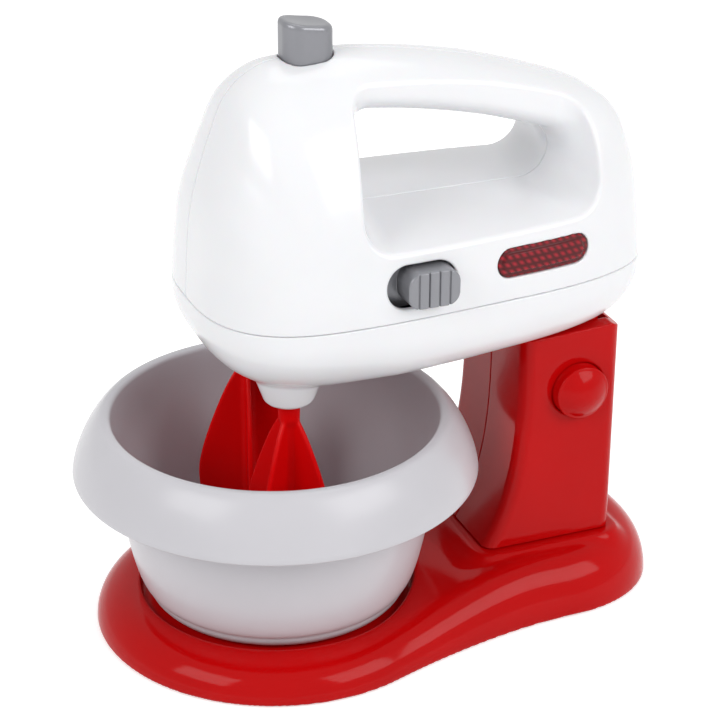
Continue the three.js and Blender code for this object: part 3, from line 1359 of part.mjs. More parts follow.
function bowl() {
  const heelZ = bowlFloorZ + bowlHeelRise;
  const mouthZ = bowlRimTop - bowlWall / 2;
  const radiusAt = (z) => bowlHeelRadius
    + (bowlMouthRadius - bowlHeelRadius) * ((z - heelZ) / (mouthZ - heelZ)) ** bowlSwellShare;
  const steps = 4;
  const heights = Array.from({ length: steps + 1 }, (_, i) =>
    heelZ + (mouthZ - heelZ) * (i / steps) ** bowlRingShare);
  const flangeFoot = bowlMouthRadius + bowlWall / 2;
  const flange = (inset, count) => Array.from({ length: count + 1 }, (_, i) => {
    const [up, out] = superPoint((Math.PI / 2) * (i / count), flangeSharpnessShare);
    return [flangeFoot + (bowlFlangeRadius - inset - flangeFoot) * out,
      bowlFlangeLip + (bowlRimTop - inset - bowlFlangeLip) * up];
  });
  const outside = heights.slice(0, -1).map((z) => [radiusAt(z), z]);
  const inside = heights.map((z) => [radiusAt(z) - bowlWall, Math.max(z, heelZ + bowlWall / 2)]).reverse();
  return turned([[0, bowlFloorZ], [bowlFootRadius, bowlFloorZ],
    [bowlHeelRadius - bowlFootRound, bowlFloorZ + bowlFootRound], ...outside, ...flange(bowlWall, 3),
    ...flange(0, 4).reverse(), ...inside, [bowlFootRadius, bowlFloorZ + bowlWall],
    [0, bowlFloorZ + bowlWall]], 0, 0, 32);
}

part('bowl', bowl(), bowlGrey);

group.position.x = (bowlFlangeRadius - baseRearReach) / 2;

export default group;
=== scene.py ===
"""Looks of a toy stand mixer: a white hand mixer on a red stand above a grey bowl."""

import math

import bmesh
import bpy
import numpy as np
from bpy.props import FloatProperty, FloatVectorProperty, IntProperty, PointerProperty
from mathutils import Matrix, Vector

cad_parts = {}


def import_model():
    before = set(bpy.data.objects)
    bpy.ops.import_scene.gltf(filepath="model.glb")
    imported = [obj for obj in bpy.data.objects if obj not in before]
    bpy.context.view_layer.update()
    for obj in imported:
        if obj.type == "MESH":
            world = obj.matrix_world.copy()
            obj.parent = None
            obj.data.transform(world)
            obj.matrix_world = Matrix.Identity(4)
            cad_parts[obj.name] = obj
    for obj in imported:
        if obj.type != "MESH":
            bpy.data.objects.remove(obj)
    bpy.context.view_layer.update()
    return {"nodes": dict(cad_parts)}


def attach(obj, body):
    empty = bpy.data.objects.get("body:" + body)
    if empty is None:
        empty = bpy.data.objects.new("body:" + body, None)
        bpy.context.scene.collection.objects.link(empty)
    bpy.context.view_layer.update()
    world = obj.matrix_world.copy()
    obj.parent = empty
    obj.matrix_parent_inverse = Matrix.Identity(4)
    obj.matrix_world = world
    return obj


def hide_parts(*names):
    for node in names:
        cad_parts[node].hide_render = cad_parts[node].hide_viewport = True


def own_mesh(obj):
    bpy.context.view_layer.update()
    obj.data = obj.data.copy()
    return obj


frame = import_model()

bl_info = {
    "name": "Toy Stand Mixer",
    "version": (1, 0, 0),
    "blender": (4, 5, 0),
    "location": "View3D > Sidebar > Toy Mixer",
    "description": "Builds the looks of a toy stand mixer on its packed model",
    "category": "Object",
}

# Lengths are in millimetres about the bowl's axis, and place() moves them into the model's frame
BOWL_AXIS_X = -33.5
MILLIMETRE = 0.001
TINY = 1e-6

# Shared fits
GAP = 0.3
WALL = 2.2
BOSS_WALL = 1.3
BOSS_FLOOR = 2.0
HOLE_EDGE = 0.35
STAND_EDGE = 0.4

# Grids: room round a form and past its seam, the step across a seam and how far from the seam it goes
MARGIN = 1.0
SEAM_ROOM = 0.6
SEAM_STEP = 0.2
SEAM_REACH = 1.0

# Head
HEAD_AXIS_X = 15.0
PARTING = 121.6
NOSE_REACH = 44.8
TAIL_REACH = 110.1
HEAD_HALF_WIDTH = 43.5
CROWN_RISE = 76.4
TAIL_NARROWING = 2.4
NOSE_SHARPNESS = 2.85
TAIL_SHARPNESS = 3.2
CROWN_SHARPNESS = 1.85
NOSE_LINE = ((1, 0), (0.991, 0.089), (0.969, 0.301), (0.938, 0.427), (0.884, 0.546),
             (0.806, 0.685), (0.675, 0.862), (0.45, 0.965), (0.165, 0.993))
TAIL_LINE = ((0.074, 1), (0.252, 0.971), (0.442, 0.916), (0.569, 0.864), (0.698, 0.802),
             (0.839, 0.721), (0.909, 0.639), (0.948, 0.513), (0.972, 0.387), (0.988, 0.203), (1, 0))
OPENING_FLOOR = 146.3
OPENING_FLOOR_DROP = 2.6
OPENING_FRONT = 21.0
OPENING_REAR = 95.8
OPENING_FLARE = 6.0
OPENING_FLARE_BEND = 1.5
OPENING_CORNER = 10.0
GRIP_HALF_WIDTH = 17.0
GRIP_DEPTH = 18.0
GRIP_SIDE_DEPTH = 9.5
GRIP_SHARPNESS = 2.5
GRIP_ROOT = 7.0

# Tray, nozzles and battery bay
TRAY_BOTTOM = 96.5
TRAY_CORNER = 17.0
TRAY_NOSE_CORNER = 20.5
TRAY_CORNER_BEND = 60.0
TRAY_CORNER_CLEAR = 1.0
TRAY_NOSE_KNEE = 12.0
TRAY_NOSE_RISE = 2.0
TRAY_KNEE = 30.0
TRAY_TAIL_RISE = 5.0
BEATER_X = -2.5
BEATER_Y = 20.0
NOZZLE_TIP = 89.3
NOZZLE_TIP_RADIUS = 7.8
NOZZLE_TOP_RADIUS = 10.4
NOZZLE_ROUND = 1.7
NOZZLE_ROOT = 102.0
NOZZLE_BORE = 4.7
BUSHING_RADIUS = 6.4
TRAY_SCREW = (52.0, 23.0)
TRAY_SCREW_SEAT = 10.0
PEG = (88.0, 12.0)
PEG_RADIUS = 3.0
COUNTERBORE = 3.3
DOOR_FRONT = 15.6
DOOR_REAR = 76.4
DOOR_HALF_WIDTH = 16.85
DOOR_THICKNESS = 1.9
DOOR_LEDGE = 2.0
BAY_FRONT = 23.4
BAY_REAR = 75.2
BAY_HALF_WIDTH = 14.85
DOOR_SCREW_X = 20.3
DOOR_BOSS = 2.5
DOOR_BOSS_HEIGHT = 8.0
NOZZLE_FINE_REACH = 12.0

# Controls
EJECT_FRONT = 3.1
EJECT_REAR = 19.5
EJECT_HALF_WIDTH = 7.0
EJECT_CORNER = 5.8
EJECT_TOP = 209.8
EJECT_DEPTH = 27.4
EJECT_DISH_RADIUS = 20.0
EJECT_DISH_DEPTH = 0.9
EJECT_SLOPE_DEGREES = 8.5
EJECT_EDGE = 2.4
EJECT_DISH_EDGE = 0.8
EJECT_FLANGE = 1.5
EJECT_FLANGE_THICKNESS = 1.6
EJECT_FLANGE_TRIM = 1.5
SWITCH_X = 33.8
SWITCH_Z = 133.0
SWITCH_LENGTH = 24.1
SWITCH_HEIGHT = 14.5
SWITCH_TRAVEL = 4.0
KNOB_CLEARANCE = 1.2
KNOB_PROUD = 4.0
KNOB_END_GAP = 1.4
KNOB_RIB = 0.9
KNOB_RIBS = 5
KNOB_RIB_SHARPNESS = 8
KNOB_CORNER_SHARE = 0.36
KNOB_EDGE = 0.45
KNOB_PLATE_DEPTH = 6.1
KNOB_PLATE_CORNER = 2.0
KNOB_PLATE_OUT = 0.2
KNOB_PLATE_IN = 1.2
LENS_X = 77.3
LENS_Z = 134.3
LENS_LENGTH = 33.6
LENS_HEIGHT = 9.7
LENS_DEPTH = 1.6
LENS_PROUD = 0.35
LENS_RIM = 1.2
LENS_RIM_SLOPE = 0.9
LENS_RISE = 0.7
LENS_EDGE = 0.3
LENS_REACH = (18, 13, 7)
HOUSING_SCREWS = ((-0.6, 0.48), (0.85, 0.35), (0.763, 0.125))
HALF_JOINT = 6.0

# Column
COLUMN_HALF_WIDTH = 25.5
COLUMN_REAR = 114.2
COLUMN_FRONT = 78.4
COLUMN_SWEEP = 12.4
COLUMN_SWEEP_BEND = 3.6
COLUMN_FRONT_TOP = 97.0
COLUMN_CORNER = 4.5
COLUMN_TOP_STEP = 1.2
PEDESTAL_TOP = 21.2
COLUMN_SCREWS = ((93.0, 38.0), (84.5, 68.0))
HINGE = (108.1, 93.5)
TILT_DEGREES = 30
RELEASE = (99.0, 77.2)
RELEASE_RADIUS = 9.4
RELEASE_PROUD = 6.8
RELEASE_DOME = 3.4
RELEASE_EDGE = 0.7
CRADLE_HALF_WIDTH = 19.0
CRADLE_FRONT = 81.3
LEDGE_CLEAR = 0.5
LEDGE_RISE = 1.2
RELEASE_PAD = 1.3
RELEASE_PAD_RADIUS = 12.5
RELEASE_DISH = 1.0
RELEASE_DISH_RADIUS = 13.5
RELEASE_STEM_RADIUS = 4.0
RELEASE_STEM_END = 3.5
RELEASE_FLANGE = 0.9
RELEASE_FLANGE_THICKNESS = 1.5

# Base
BASE_FRONT_RADIUS = 61.8
BASE_REAR = 134.5
BASE_REAR_HALF_WIDTH = 43.6
BASE_REAR_START = 90.0
BASE_WAIST_LEAD = 22.0
BASE_WAIST_TRAIL = 20.0
BASE_WAIST_DEGREES = 70.0
BASE_REAR_SHARPNESS = 2.3
BASE_LIFT = 0.6
RIM_INSET = 14.0
RIM_FRONT = 12.6
RIM_REAR = 19.8
CLIMB_START = 14.0
CLIMB_END = 80.0
WELL_RADIUS = 46.4
WELL_FLOOR = 10.0
PEDESTAL_MARGIN = 3.0
PEDESTAL_SPREAD = 8.0
PEDESTAL_FRONT_SPREAD = 20.0
PEDESTAL_CLEAR = 4.5
PEDESTAL_CLEAR_EDGE = 4.0

# Bowl
BOWL_FLANGE_RADIUS = 67.5
BOWL_LIP = 56.8
BOWL_MOUTH_RADIUS = 56.2
BOWL_TOP = 76.0
BOWL_FOOT_RADIUS = 33.0
BOWL_HEEL_RADIUS = 44.4
BOWL_HEEL_RISE = 5.0
BOWL_WALL = 2.0
BOWL_FLOOR = 10.3
BOWL_SWELL = 0.56
BOWL_INNER_CORNER = 8.0
BOWL_INNER_CORNER_RISE = 7.0
BOWL_INNER_CORNER_OUT = 1.2
BOWL_LIP_DEPTH = 0.9
FLANGE_SHARPNESS = 1.35

# Beaters
BEATER_RADIUS = 17.3
BEATER_TOP = 84.0
BEATER_BOTTOM = 25.0
BLADE_THICKNESS = 1.8
BLADE_EDGE = 0.6
BLADE_FILLET = 1.2
BEATER_CORE_RADIUS = 2.2
BEATER_CORE_START = 4.0
BEATER_SHAFT_RADIUS = 1.7
BEATER_SHAFT_RISE = 8.0
BEATER_HUB_SWELL = 1.9
BEATER_HUB_LENGTH = 8.0
BEATER_HUB_FLARE = 6.0
BEATER_HUB_EDGE = 0.5
BEATER_FILLET = 0.8
BEATER_TURNS = {-1: 37.0, 1: 73.0}
LEAF = ((0.17, 1), (0.42, 0.87), (0.7, 0.67), (0.92, 0.47), (1, 0.32), (0.93, 0.16), (0.72, 0.05), (0.36, 0))

# Shares that turn a level distance into one square to a sloping face
KNOB_SLOPE_SHARE = 0.6
LEAF_SLOPE_SHARE = 0.8
PEDESTAL_SLOPE_SHARE = 0.75
COLUMN_SLOPE_SHARE = 0.95

SIDES = (-1, 1)


def hand(side):
    return "left" if side < 0 else "right"


# Signed distances: negative inside a form, in millimetres

def meet(a, b, radius):
    """Where both forms are, with its edge rounded."""
    corner = np.hypot(np.maximum(radius + a, 0), np.maximum(radius + b, 0))
    return np.minimum(-radius, np.maximum(a, b)) + corner


def fuse(a, b, radius):
    """Both forms together, with a fillet between them."""
    corner = np.hypot(np.maximum(radius - a, 0), np.maximum(radius - b, 0))
    return np.maximum(radius, np.minimum(a, b)) - corner


def carve(a, b, radius):
    """The first form without the second, with its edge rounded."""
    return meet(a, -b, radius)


def stadium(u, v, length, height):
    """Distance to a slot with round ends about the origin."""
    radius = height / 2
    return np.hypot(np.maximum(np.abs(u) - length / 2 + radius, 0), v) - radius


def rounded_rect(u, v, half_u, half_v, corner):
    qu = np.abs(u) - half_u + corner
    qv = np.abs(v) - half_v + corner
    outside = np.hypot(np.maximum(qu, 0), np.maximum(qv, 0))
    return outside + np.minimum(np.maximum(qu, qv), 0) - corner


def between(value, low, high):
    return np.maximum(low - value, value - high)


def smoothstep(value, low, high):
    t = np.clip((value - low) / (high - low), 0, 1)
    return t * t * (3 - 2 * t)


def spline(points, steps):
    """Points of a smooth curve through the given ones, with the same number of steps in each stretch."""
    p = np.array(points, float)
    ends = np.vstack([p[:1], p, p[-1:]])
    t = np.linspace(0, 1, steps, endpoint=False)[:, None]
    stretches = []
    for a, b, c, d in zip(ends, ends[1:], ends[2:], ends[3:]):
        v0 = (c - a) / 2
        v1 = (d - b) / 2
        cubic = 2 * b - 2 * c + v0 + v1
        square = 3 * c - 3 * b - 2 * v0 - v1
        stretches.append(cubic * t**3 + square * t**2 + v0 * t + b)
    return np.vstack(stretches + [p[-1:]])


# Head surface from the crown line

CROWN_LINE = spline([(-x * NOSE_REACH, z * CROWN_RISE) for x, z in NOSE_LINE]
                    + [(x * TAIL_REACH, z * CROWN_RISE) for x, z in TAIL_LINE], 60)
CROWN_ANGLES = np.arctan2(CROWN_LINE[::-1, 1], CROWN_LINE[::-1, 0])
CROWN_REACHES = np.hypot(CROWN_LINE[::-1, 0], CROWN_LINE[::-1, 1])
CROWN_SLOPES = np.gradient(CROWN_REACHES, CROWN_ANGLES)


def tail_loss(back):
    return TAIL_NARROWING * smoothstep(back, 0, TAIL_REACH / 2)


def superellipse(u, v, power, reach_u, reach_v, slope=0.0):
    """Distance to a superellipse, with slope for a reach that changes with the angle."""
    a = np.maximum(u / reach_u, TINY)
    b = np.maximum(v / reach_v, TINY)
    total = a**power + b**power
    value = total ** (1 / power)
    share = value / total
    gu = share * a ** (power - 1) / reach_u
    gv = share * b ** (power - 1) / reach_v
    return (value - 1) / np.sqrt(gu * gu * (1 + (slope / reach_u) ** 2) + gv * gv)


def crown(x, y, z):
    px = x - HEAD_AXIS_X
    pz = np.maximum(z - PARTING, 0)
    angle = np.arctan2(pz, px)
    reach = np.interp(angle, CROWN_ANGLES, CROWN_REACHES)
    slope = np.interp(angle, CROWN_ANGLES, CROWN_SLOPES)
    side = np.where(px < 0, NOSE_SHARPNESS, TAIL_SHARPNESS)
    power = CROWN_SHARPNESS + (side - CROWN_SHARPNESS) * np.cos(angle) ** 2
    return superellipse(np.hypot(px, pz), np.abs(y), power, reach, HEAD_HALF_WIDTH - tail_loss(px), slope)


def crown_height(x):
    return PARTING + np.interp(x - HEAD_AXIS_X, CROWN_LINE[:, 0], CROWN_LINE[:, 1])


def around_grip(x, y, z):
    """What is left beside the hand opening: the grip above it and the head round it."""
    out = np.abs(y) / HEAD_HALF_WIDTH
    flare = OPENING_FLARE * out**OPENING_FLARE_BEND
    along = between(x, OPENING_FRONT - flare, OPENING_REAR + flare)
    hole = meet(along, OPENING_FLOOR - OPENING_FLOOR_DROP * out**2 - z, OPENING_CORNER)
    depth = crown_height(x) - z
    grip = superellipse(np.maximum(depth - GRIP_SIDE_DEPTH, 0), np.abs(y), GRIP_SHARPNESS,
                        GRIP_DEPTH - GRIP_SIDE_DEPTH, GRIP_HALF_WIDTH)
    return fuse(-hole, grip, GRIP_ROOT)


def housing(x, y, z, rim):
    """Both housing halves as one solid, with the rim of the hand opening rounded."""
    return meet(crown(x, y, z), around_grip(x, y, z), rim)


def tray_floor(x):
    tail = TRAY_TAIL_RISE * np.maximum(0, x - TRAY_KNEE) / (HEAD_AXIS_X + TAIL_REACH - TRAY_KNEE)
    forward = np.maximum(0, TRAY_NOSE_KNEE - x) / (TRAY_NOSE_KNEE - HEAD_AXIS_X + NOSE_REACH)
    return TRAY_BOTTOM + tail + TRAY_NOSE_RISE * forward**1.5


def tray_corner(x):
    grown = TRAY_NOSE_CORNER - (TRAY_NOSE_CORNER - TRAY_CORNER) * smoothstep(x, 0, TRAY_CORNER_BEND)
    return np.minimum(PARTING - TRAY_CORNER_CLEAR - tray_floor(x), grown)


def plan(x, y):
    """Distance to the head's outline, seen from above."""
    px = x - HEAD_AXIS_X
    nose = px < 0
    return superellipse(np.abs(px), np.abs(y), np.where(nose, NOSE_SHARPNESS, TAIL_SHARPNESS),
                        np.where(nose, NOSE_REACH, TAIL_REACH), HEAD_HALF_WIDTH - tail_loss(px))


# Meshes from distances

def grid_line(low, high, step, *fine):
    """Stops from low to high, with (low, high, step) stretches that are finer."""
    stops = [low]
    while stops[-1] < high:
        here = stops[-1]
        steps = [s for a, b, s in fine if a - step / 2 <= here < b]
        stops.append(here + min([step] + steps))
    return np.array(stops)


def around(middle, reach, step):
    """A finer stretch for grid_line, as far on both sides of a place."""
    return (middle - reach, middle + reach, step)


def settle(points, distance, rounds=4):
    """Points moved onto the surface where the distance is zero."""
    probe = 0.02
    reach = 0.6
    for _ in range(rounds):
        value = distance(*points.T)
        slope = np.stack([(distance(*(points + step).T) - distance(*(points - step).T)) / (2 * probe)
                          for step in np.eye(3) * probe], 1)
        size = np.maximum((slope**2).sum(1), 1e-3)
        move = (value / size)[:, None] * slope
        length = np.maximum(np.sqrt((move**2).sum(1)), 1e-9)
        points = points - move * np.minimum(1, reach / length)[:, None]
    return points


def skin(distance, xs, ys, zs):
    """Vertices and quads of the surface where the distance is zero, one vertex for each crossed cell."""
    values = distance(*np.meshgrid(xs, ys, zs, indexing="ij"))
    inside = values < 0
    shape = tuple(n - 1 for n in values.shape)
    total = np.zeros(shape + (3,), np.float32)
    crossings = np.zeros(shape, np.int8)
    lines = (xs, ys, zs)
    for axis in range(3):
        others = [a for a in range(3) if a != axis]
        low = np.moveaxis(values, axis, 0)[:-1]
        high = np.moveaxis(values, axis, 0)[1:]
        sides = np.moveaxis(inside, axis, 0)
        change = sides[:-1] != sides[1:]
        span = np.where(change, low - high, 1)
        share = np.where(change, low / span, 0)
        line = lines[axis]
        spot = line[:-1, None, None] + share * np.diff(line)[:, None, None]
        for du in (0, 1):
            for dv in (0, 1):
                cu = slice(du, change.shape[1] - 1 + du)
                cv = slice(dv, change.shape[2] - 1 + dv)
                hit = change[:, cu, cv]
                point = np.zeros(hit.shape + (3,), np.float32)
                point[..., axis] = spot[:, cu, cv]
                point[..., others[0]] = lines[others[0]][cu][None, :, None]
                point[..., others[1]] = lines[others[1]][cv][None, None, :]
                point *= hit[..., None]
                total += np.moveaxis(point, 0, axis)
                crossings += np.moveaxis(hit, 0, axis).astype(np.int8)
    used = crossings > 0
    number = np.full(shape, -1, np.int64)
    number[used] = np.arange(used.sum())
    points = total[used].astype(float) / crossings[used][:, None]
    quads = []
    for axis in range(3):
        sides = np.moveaxis(inside, axis, 0)
        cells = np.moveaxis(number, axis, 0)
        change = (sides[:-1] != sides[1:])[:, 1:-1, 1:-1]
        i, j, k = np.nonzero(change)
        ring = np.stack([cells[i, j, k], cells[i, j + 1, k], cells[i, j + 1, k + 1], cells[i, j, k + 1]], 1)
        outwards = sides[:-1][:, 1:-1, 1:-1][i, j, k]
        if axis == 1:
            outwards = ~outwards
        quads.append(np.where(outwards[:, None], ring, ring[:, ::-1]))
    return points, np.vstack(quads)


def place(points):
    return (np.asarray(points, float) + (BOWL_AXIS_X, 0, 0)) * MILLIMETRE


def new_object(name, data):
    """An object in the scene's own collection."""
    made = bpy.data.objects.new(name, data)
    bpy.context.scene.collection.objects.link(made)
    return made


def mesh_object(name, points, faces):
    mesh = bpy.data.meshes.new(name)
    mesh.from_pydata(place(points).tolist(), [], [list(map(int, f)) for f in faces])
    mesh.update()
    mesh.polygons.foreach_set("use_smooth", [True] * len(mesh.polygons))
    return new_object(name, mesh)


def moulded(name, distance, xs, ys, zs):
    """A moulded piece from its distance."""
    points, quads = skin(distance, xs, ys, zs)
    return mesh_object(name, settle(points, distance), quads)


def lathe(name, profile, segments, centre=(0.0, 0.0, 0.0), axis="Z"):
    """A turned piece from a profile of (radius, height), closed where the radius is zero."""
    rings = []
    points = []
    for radius, height in profile:
        if radius < TINY:
            rings.append([len(points)])
            points.append((0, 0, height))
            continue
        rings.append(list(range(len(points), len(points) + segments)))
        for i in range(segments):
            angle = 2 * math.pi * i / segments
            points.append((radius * math.cos(angle), radius * math.sin(angle), height))
    faces = []
    for lower, upper in zip(rings, rings[1:]):
        for i in range(segments):
            j = (i + 1) % segments
            if len(lower) == 1 and len(upper) > 1:
                faces.append((lower[0], upper[j], upper[i]))
            elif len(upper) == 1 and len(lower) > 1:
                faces.append((lower[i], lower[j], upper[0]))
            elif len(lower) > 1:
                faces.append((lower[i], lower[j], upper[j], upper[i]))
    points = np.array(points, float)
    if axis == "Y":
        points = np.stack([points[:, 0], points[:, 2], -points[:, 1]], 1)
    return mesh_object(name, points + np.array(centre), faces)


def finish(piece, body, look, slot, *nodes):
    """Gives a piece its material and its body, and hides the CAD nodes that it stands for."""
    piece.data.materials.clear()
    piece.data.materials.append(look)
    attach(piece, body)
    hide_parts(*nodes)
    return piece


def broken_edges(piece, width):
    """A narrow bevel on a piece, with its width in millimetres."""
    bevel = piece.modifiers.new("Broken edges", "BEVEL")
    bevel.width = width * MILLIMETRE
    bevel.segments = 2
    return bevel


def polished(node, body, look, slot, width=0.3):
    """A merged copy of a CAD node with its edges broken."""
    source = frame["nodes"][node]
    mesh = source.data.copy()
    mesh.transform(source.matrix_world)
    form = bmesh.new()
    form.from_mesh(mesh)
    bmesh.ops.remove_doubles(form, verts=form.verts, dist=TINY)
    bmesh.ops.dissolve_limit(form, angle_limit=math.radians(1), verts=form.verts, edges=form.edges)
    form.to_mesh(mesh)
    form.free()
    for polygon in mesh.polygons:
        polygon.use_smooth = True
    piece = new_object(node + "_moulded", mesh)
    bevel = broken_edges(piece, width)
    bevel.limit_method = "ANGLE"
    bevel.angle_limit = math.radians(40)
    bevel.harden_normals = True
    return finish(piece, body, look, slot, node)


# Materials

def material(name, colour, roughness, metallic=0.0, coat=0.0, grain=0.0, grain_scale=900.0, mottle=0.04,
             wear=0.05, sheen_scale=35.0, subsurface=0.0, specular=0.5):
    """A plastic, rubber or metal finish with a fine grain, uneven gloss and slight changes of colour."""
    made = bpy.data.materials.new(name)
    made.use_nodes = True
    tree = made.node_tree
    shader = tree.nodes["Principled BSDF"]
    shader.inputs["Metallic"].default_value = metallic
    shader.inputs["Specular IOR Level"].default_value = specular
    shader.inputs["Coat Weight"].default_value = coat
    shader.inputs["Coat Roughness"].default_value = 0.06
    shader.inputs["Subsurface Weight"].default_value = subsurface
    shader.inputs["Subsurface Scale"].default_value = 0.004
    where = tree.nodes.new("ShaderNodeTexCoord")

    def noise(scale, detail):
        node = tree.nodes.new("ShaderNodeTexNoise")
        node.inputs["Scale"].default_value = scale
        node.inputs["Detail"].default_value = detail
        tree.links.new(where.outputs["Object"], node.inputs["Vector"])
        return node.outputs["Fac"]

    def spread(value, low, high):
        node = tree.nodes.new("ShaderNodeMapRange")
        node.inputs["From Min"].default_value = 0.3
        node.inputs["From Max"].default_value = 0.7
        node.inputs["To Min"].default_value = low
        node.inputs["To Max"].default_value = high
        tree.links.new(value, node.inputs["Value"])
        return node.outputs["Result"]

    cloud = noise(sheen_scale, 4.0)
    mix = tree.nodes.new("ShaderNodeMix")
    mix.data_type = "RGBA"
    mix.inputs["A"].default_value = (*[c * (1 - mottle) for c in colour], 1)
    mix.inputs["B"].default_value = (*[min(1, c * (1 + mottle)) for c in colour], 1)
    tree.links.new(spread(cloud, 0, 1), mix.inputs["Factor"])
    tree.links.new(mix.outputs["Result"], shader.inputs["Base Color"])
    tree.links.new(spread(noise(sheen_scale * 5, 6.0), roughness * (1 - wear), roughness * (1 + wear)),
                   shader.inputs["Roughness"])
    if grain:
        bump = tree.nodes.new("ShaderNodeBump")
        bump.inputs["Strength"].default_value = grain
        bump.inputs["Distance"].default_value = 0.0001
        tree.links.new(noise(grain_scale, 3.0), bump.inputs["Height"])
        tree.links.new(bump.outputs["Normal"], shader.inputs["Normal"])
    return made


def lens_material(name, colour):
    """Clear red plastic with slanting prisms moulded into its back, and the prisms' streaks of light and
    shade painted into its colour.
    """
    made = material(name, colour, 0.2, specular=0.25)
    tree = made.node_tree
    shader = tree.nodes["Principled BSDF"]
    where = tree.nodes.new("ShaderNodeTexCoord")
    waves = []
    for direction, degrees, scale in (("X", 35, 150), ("Z", 0, 130)):
        turned = tree.nodes.new("ShaderNodeMapping")
        turned.inputs["Rotation"].default_value = (0, math.radians(degrees), 0)
        tree.links.new(where.outputs["Object"], turned.inputs["Vector"])
        wave = tree.nodes.new("ShaderNodeTexWave")
        wave.bands_direction = direction
        wave.wave_profile = "SIN"
        wave.inputs["Scale"].default_value = scale
        tree.links.new(turned.outputs["Vector"], wave.inputs["Vector"])
        waves.append(wave.outputs["Fac"])
    height = tree.nodes.new("ShaderNodeMath")
    height.operation = "MULTIPLY"
    tree.links.new(waves[0], height.inputs[0])
    tree.links.new(waves[1], height.inputs[1])
    bump = tree.nodes.new("ShaderNodeBump")
    bump.inputs["Strength"].default_value = 0.15
    bump.inputs["Distance"].default_value = 0.0005
    tree.links.new(height.outputs["Value"], bump.inputs["Height"])
    tree.links.new(bump.outputs["Normal"], shader.inputs["Normal"])
    # Painted light and shade: the colour runs from dark to bright with the prisms' height, standing in for
    # the streaks of light that the prisms throw.
    prism_light_and_shade = tree.nodes.new("ShaderNodeMix")
    prism_light_and_shade.data_type = "RGBA"
    prism_light_and_shade.inputs["A"].default_value = (*[c * 0.4 for c in colour], 1)
    prism_light_and_shade.inputs["B"].default_value = (*[min(1, c * 1.9) for c in colour], 1)
    tree.links.new(height.outputs["Value"], prism_light_and_shade.inputs["Factor"])
    tree.links.new(prism_light_and_shade.outputs["Result"], shader.inputs["Base Color"])
    return made


def colour_of(name):
    return tuple(getattr(bpy.context.scene.toy_mixer_finish, name))


def shared(name, colour, roughness, **looks):
    """The finish of that name, made when it is first asked for."""
    return bpy.data.materials.get(name) or material(name, colour, roughness, **looks)


GLOSS_GRAIN = {"grain": 0.03, "grain_scale": 260}
# Painted light: the beaters get the stand's red made this many times brighter, to make up for the shade that
# the bowl casts on them.
BEATER_PAINTED_LIGHT = 1.4


def white_plastic():
    return shared("White plastic", colour_of("white"), 0.17, specular=0.4, mottle=0.012, subsurface=0.08,
                  **GLOSS_GRAIN)


def red_plastic():
    return shared("Red plastic", colour_of("red"), 0.1, specular=0.11, mottle=0.04, **GLOSS_GRAIN)


# The beaters' finish: the stand's red, brightened as painted light.
def lit_beater_plastic():
    lit_red = tuple(BEATER_PAINTED_LIGHT * share for share in colour_of("red"))
    return shared("Beater plastic", lit_red, 0.14, specular=0.1, mottle=0.03, **GLOSS_GRAIN)


def bowl_plastic():
    return shared("Bowl plastic", colour_of("bowl"), 0.24, grain=0.04, grain_scale=700, mottle=0.015,
                  specular=0.3)


def control_plastic():
    return shared("Control plastic", colour_of("control"), 0.3, metallic=0.35, grain=0.06, grain_scale=1500,
                  mottle=0.03)


def natural_plastic():
    return shared("Natural plastic", (0.78, 0.75, 0.66), 0.4, grain=0.1, grain_scale=900, subsurface=0.15)


def dark_plastic():
    return shared("Dark plastic", (0.024, 0.025, 0.03), 0.5, grain=0.2, grain_scale=1400)


def steel():
    return shared("Plated steel", (0.6, 0.61, 0.63), 0.28, metallic=1.0, grain=0.12, grain_scale=2200,
                  wear=0.25)


def brass():
    return shared("Sintered brass", (0.58, 0.4, 0.12), 0.42, metallic=1.0, grain=0.35, grain_scale=2600,
                  wear=0.2)


def rubber():
    return shared("Foot rubber", (0.018, 0.018, 0.02), 0.8, grain=0.4, grain_scale=1800)


def board():
    return shared("Circuit board", (0.02, 0.13, 0.035), 0.4, grain=0.2, grain_scale=1200, mottle=0.15)


def cell_wrap():
    return shared("Cell wrap", (0.05, 0.15, 0.08), 0.35, coat=0.4, grain=0.08, grain_scale=600, wear=0.2)


# Head and tray

def joint_plane(y, side):
    """Distance to one side of the middle seam."""
    return (GAP / 2 + y) if side < 0 else (GAP / 2 - y)


def eject_slot(x, y, grow):
    middle = (EJECT_FRONT + EJECT_REAR) / 2
    return rounded_rect(x - middle, y, (EJECT_REAR - EJECT_FRONT) / 2 + grow, EJECT_HALF_WIDTH + grow,
                        EJECT_CORNER + grow)


def head_screws():
    return [(HEAD_AXIS_X + along * (NOSE_REACH if along < 0 else TAIL_REACH), PARTING + up * CROWN_RISE)
            for along, up in HOUSING_SCREWS]


def screw_boss(shell, whole, axis, y, edge):
    """The shell with a boss round a screw's axis, and with the hole that the screw's head sits in."""
    boss = np.maximum(np.maximum(axis - COUNTERBORE - BOSS_WALL, whole), HALF_JOINT - BOSS_FLOOR - y)
    return carve(np.minimum(shell, boss), np.maximum(axis - COUNTERBORE, HALF_JOINT - y), edge)


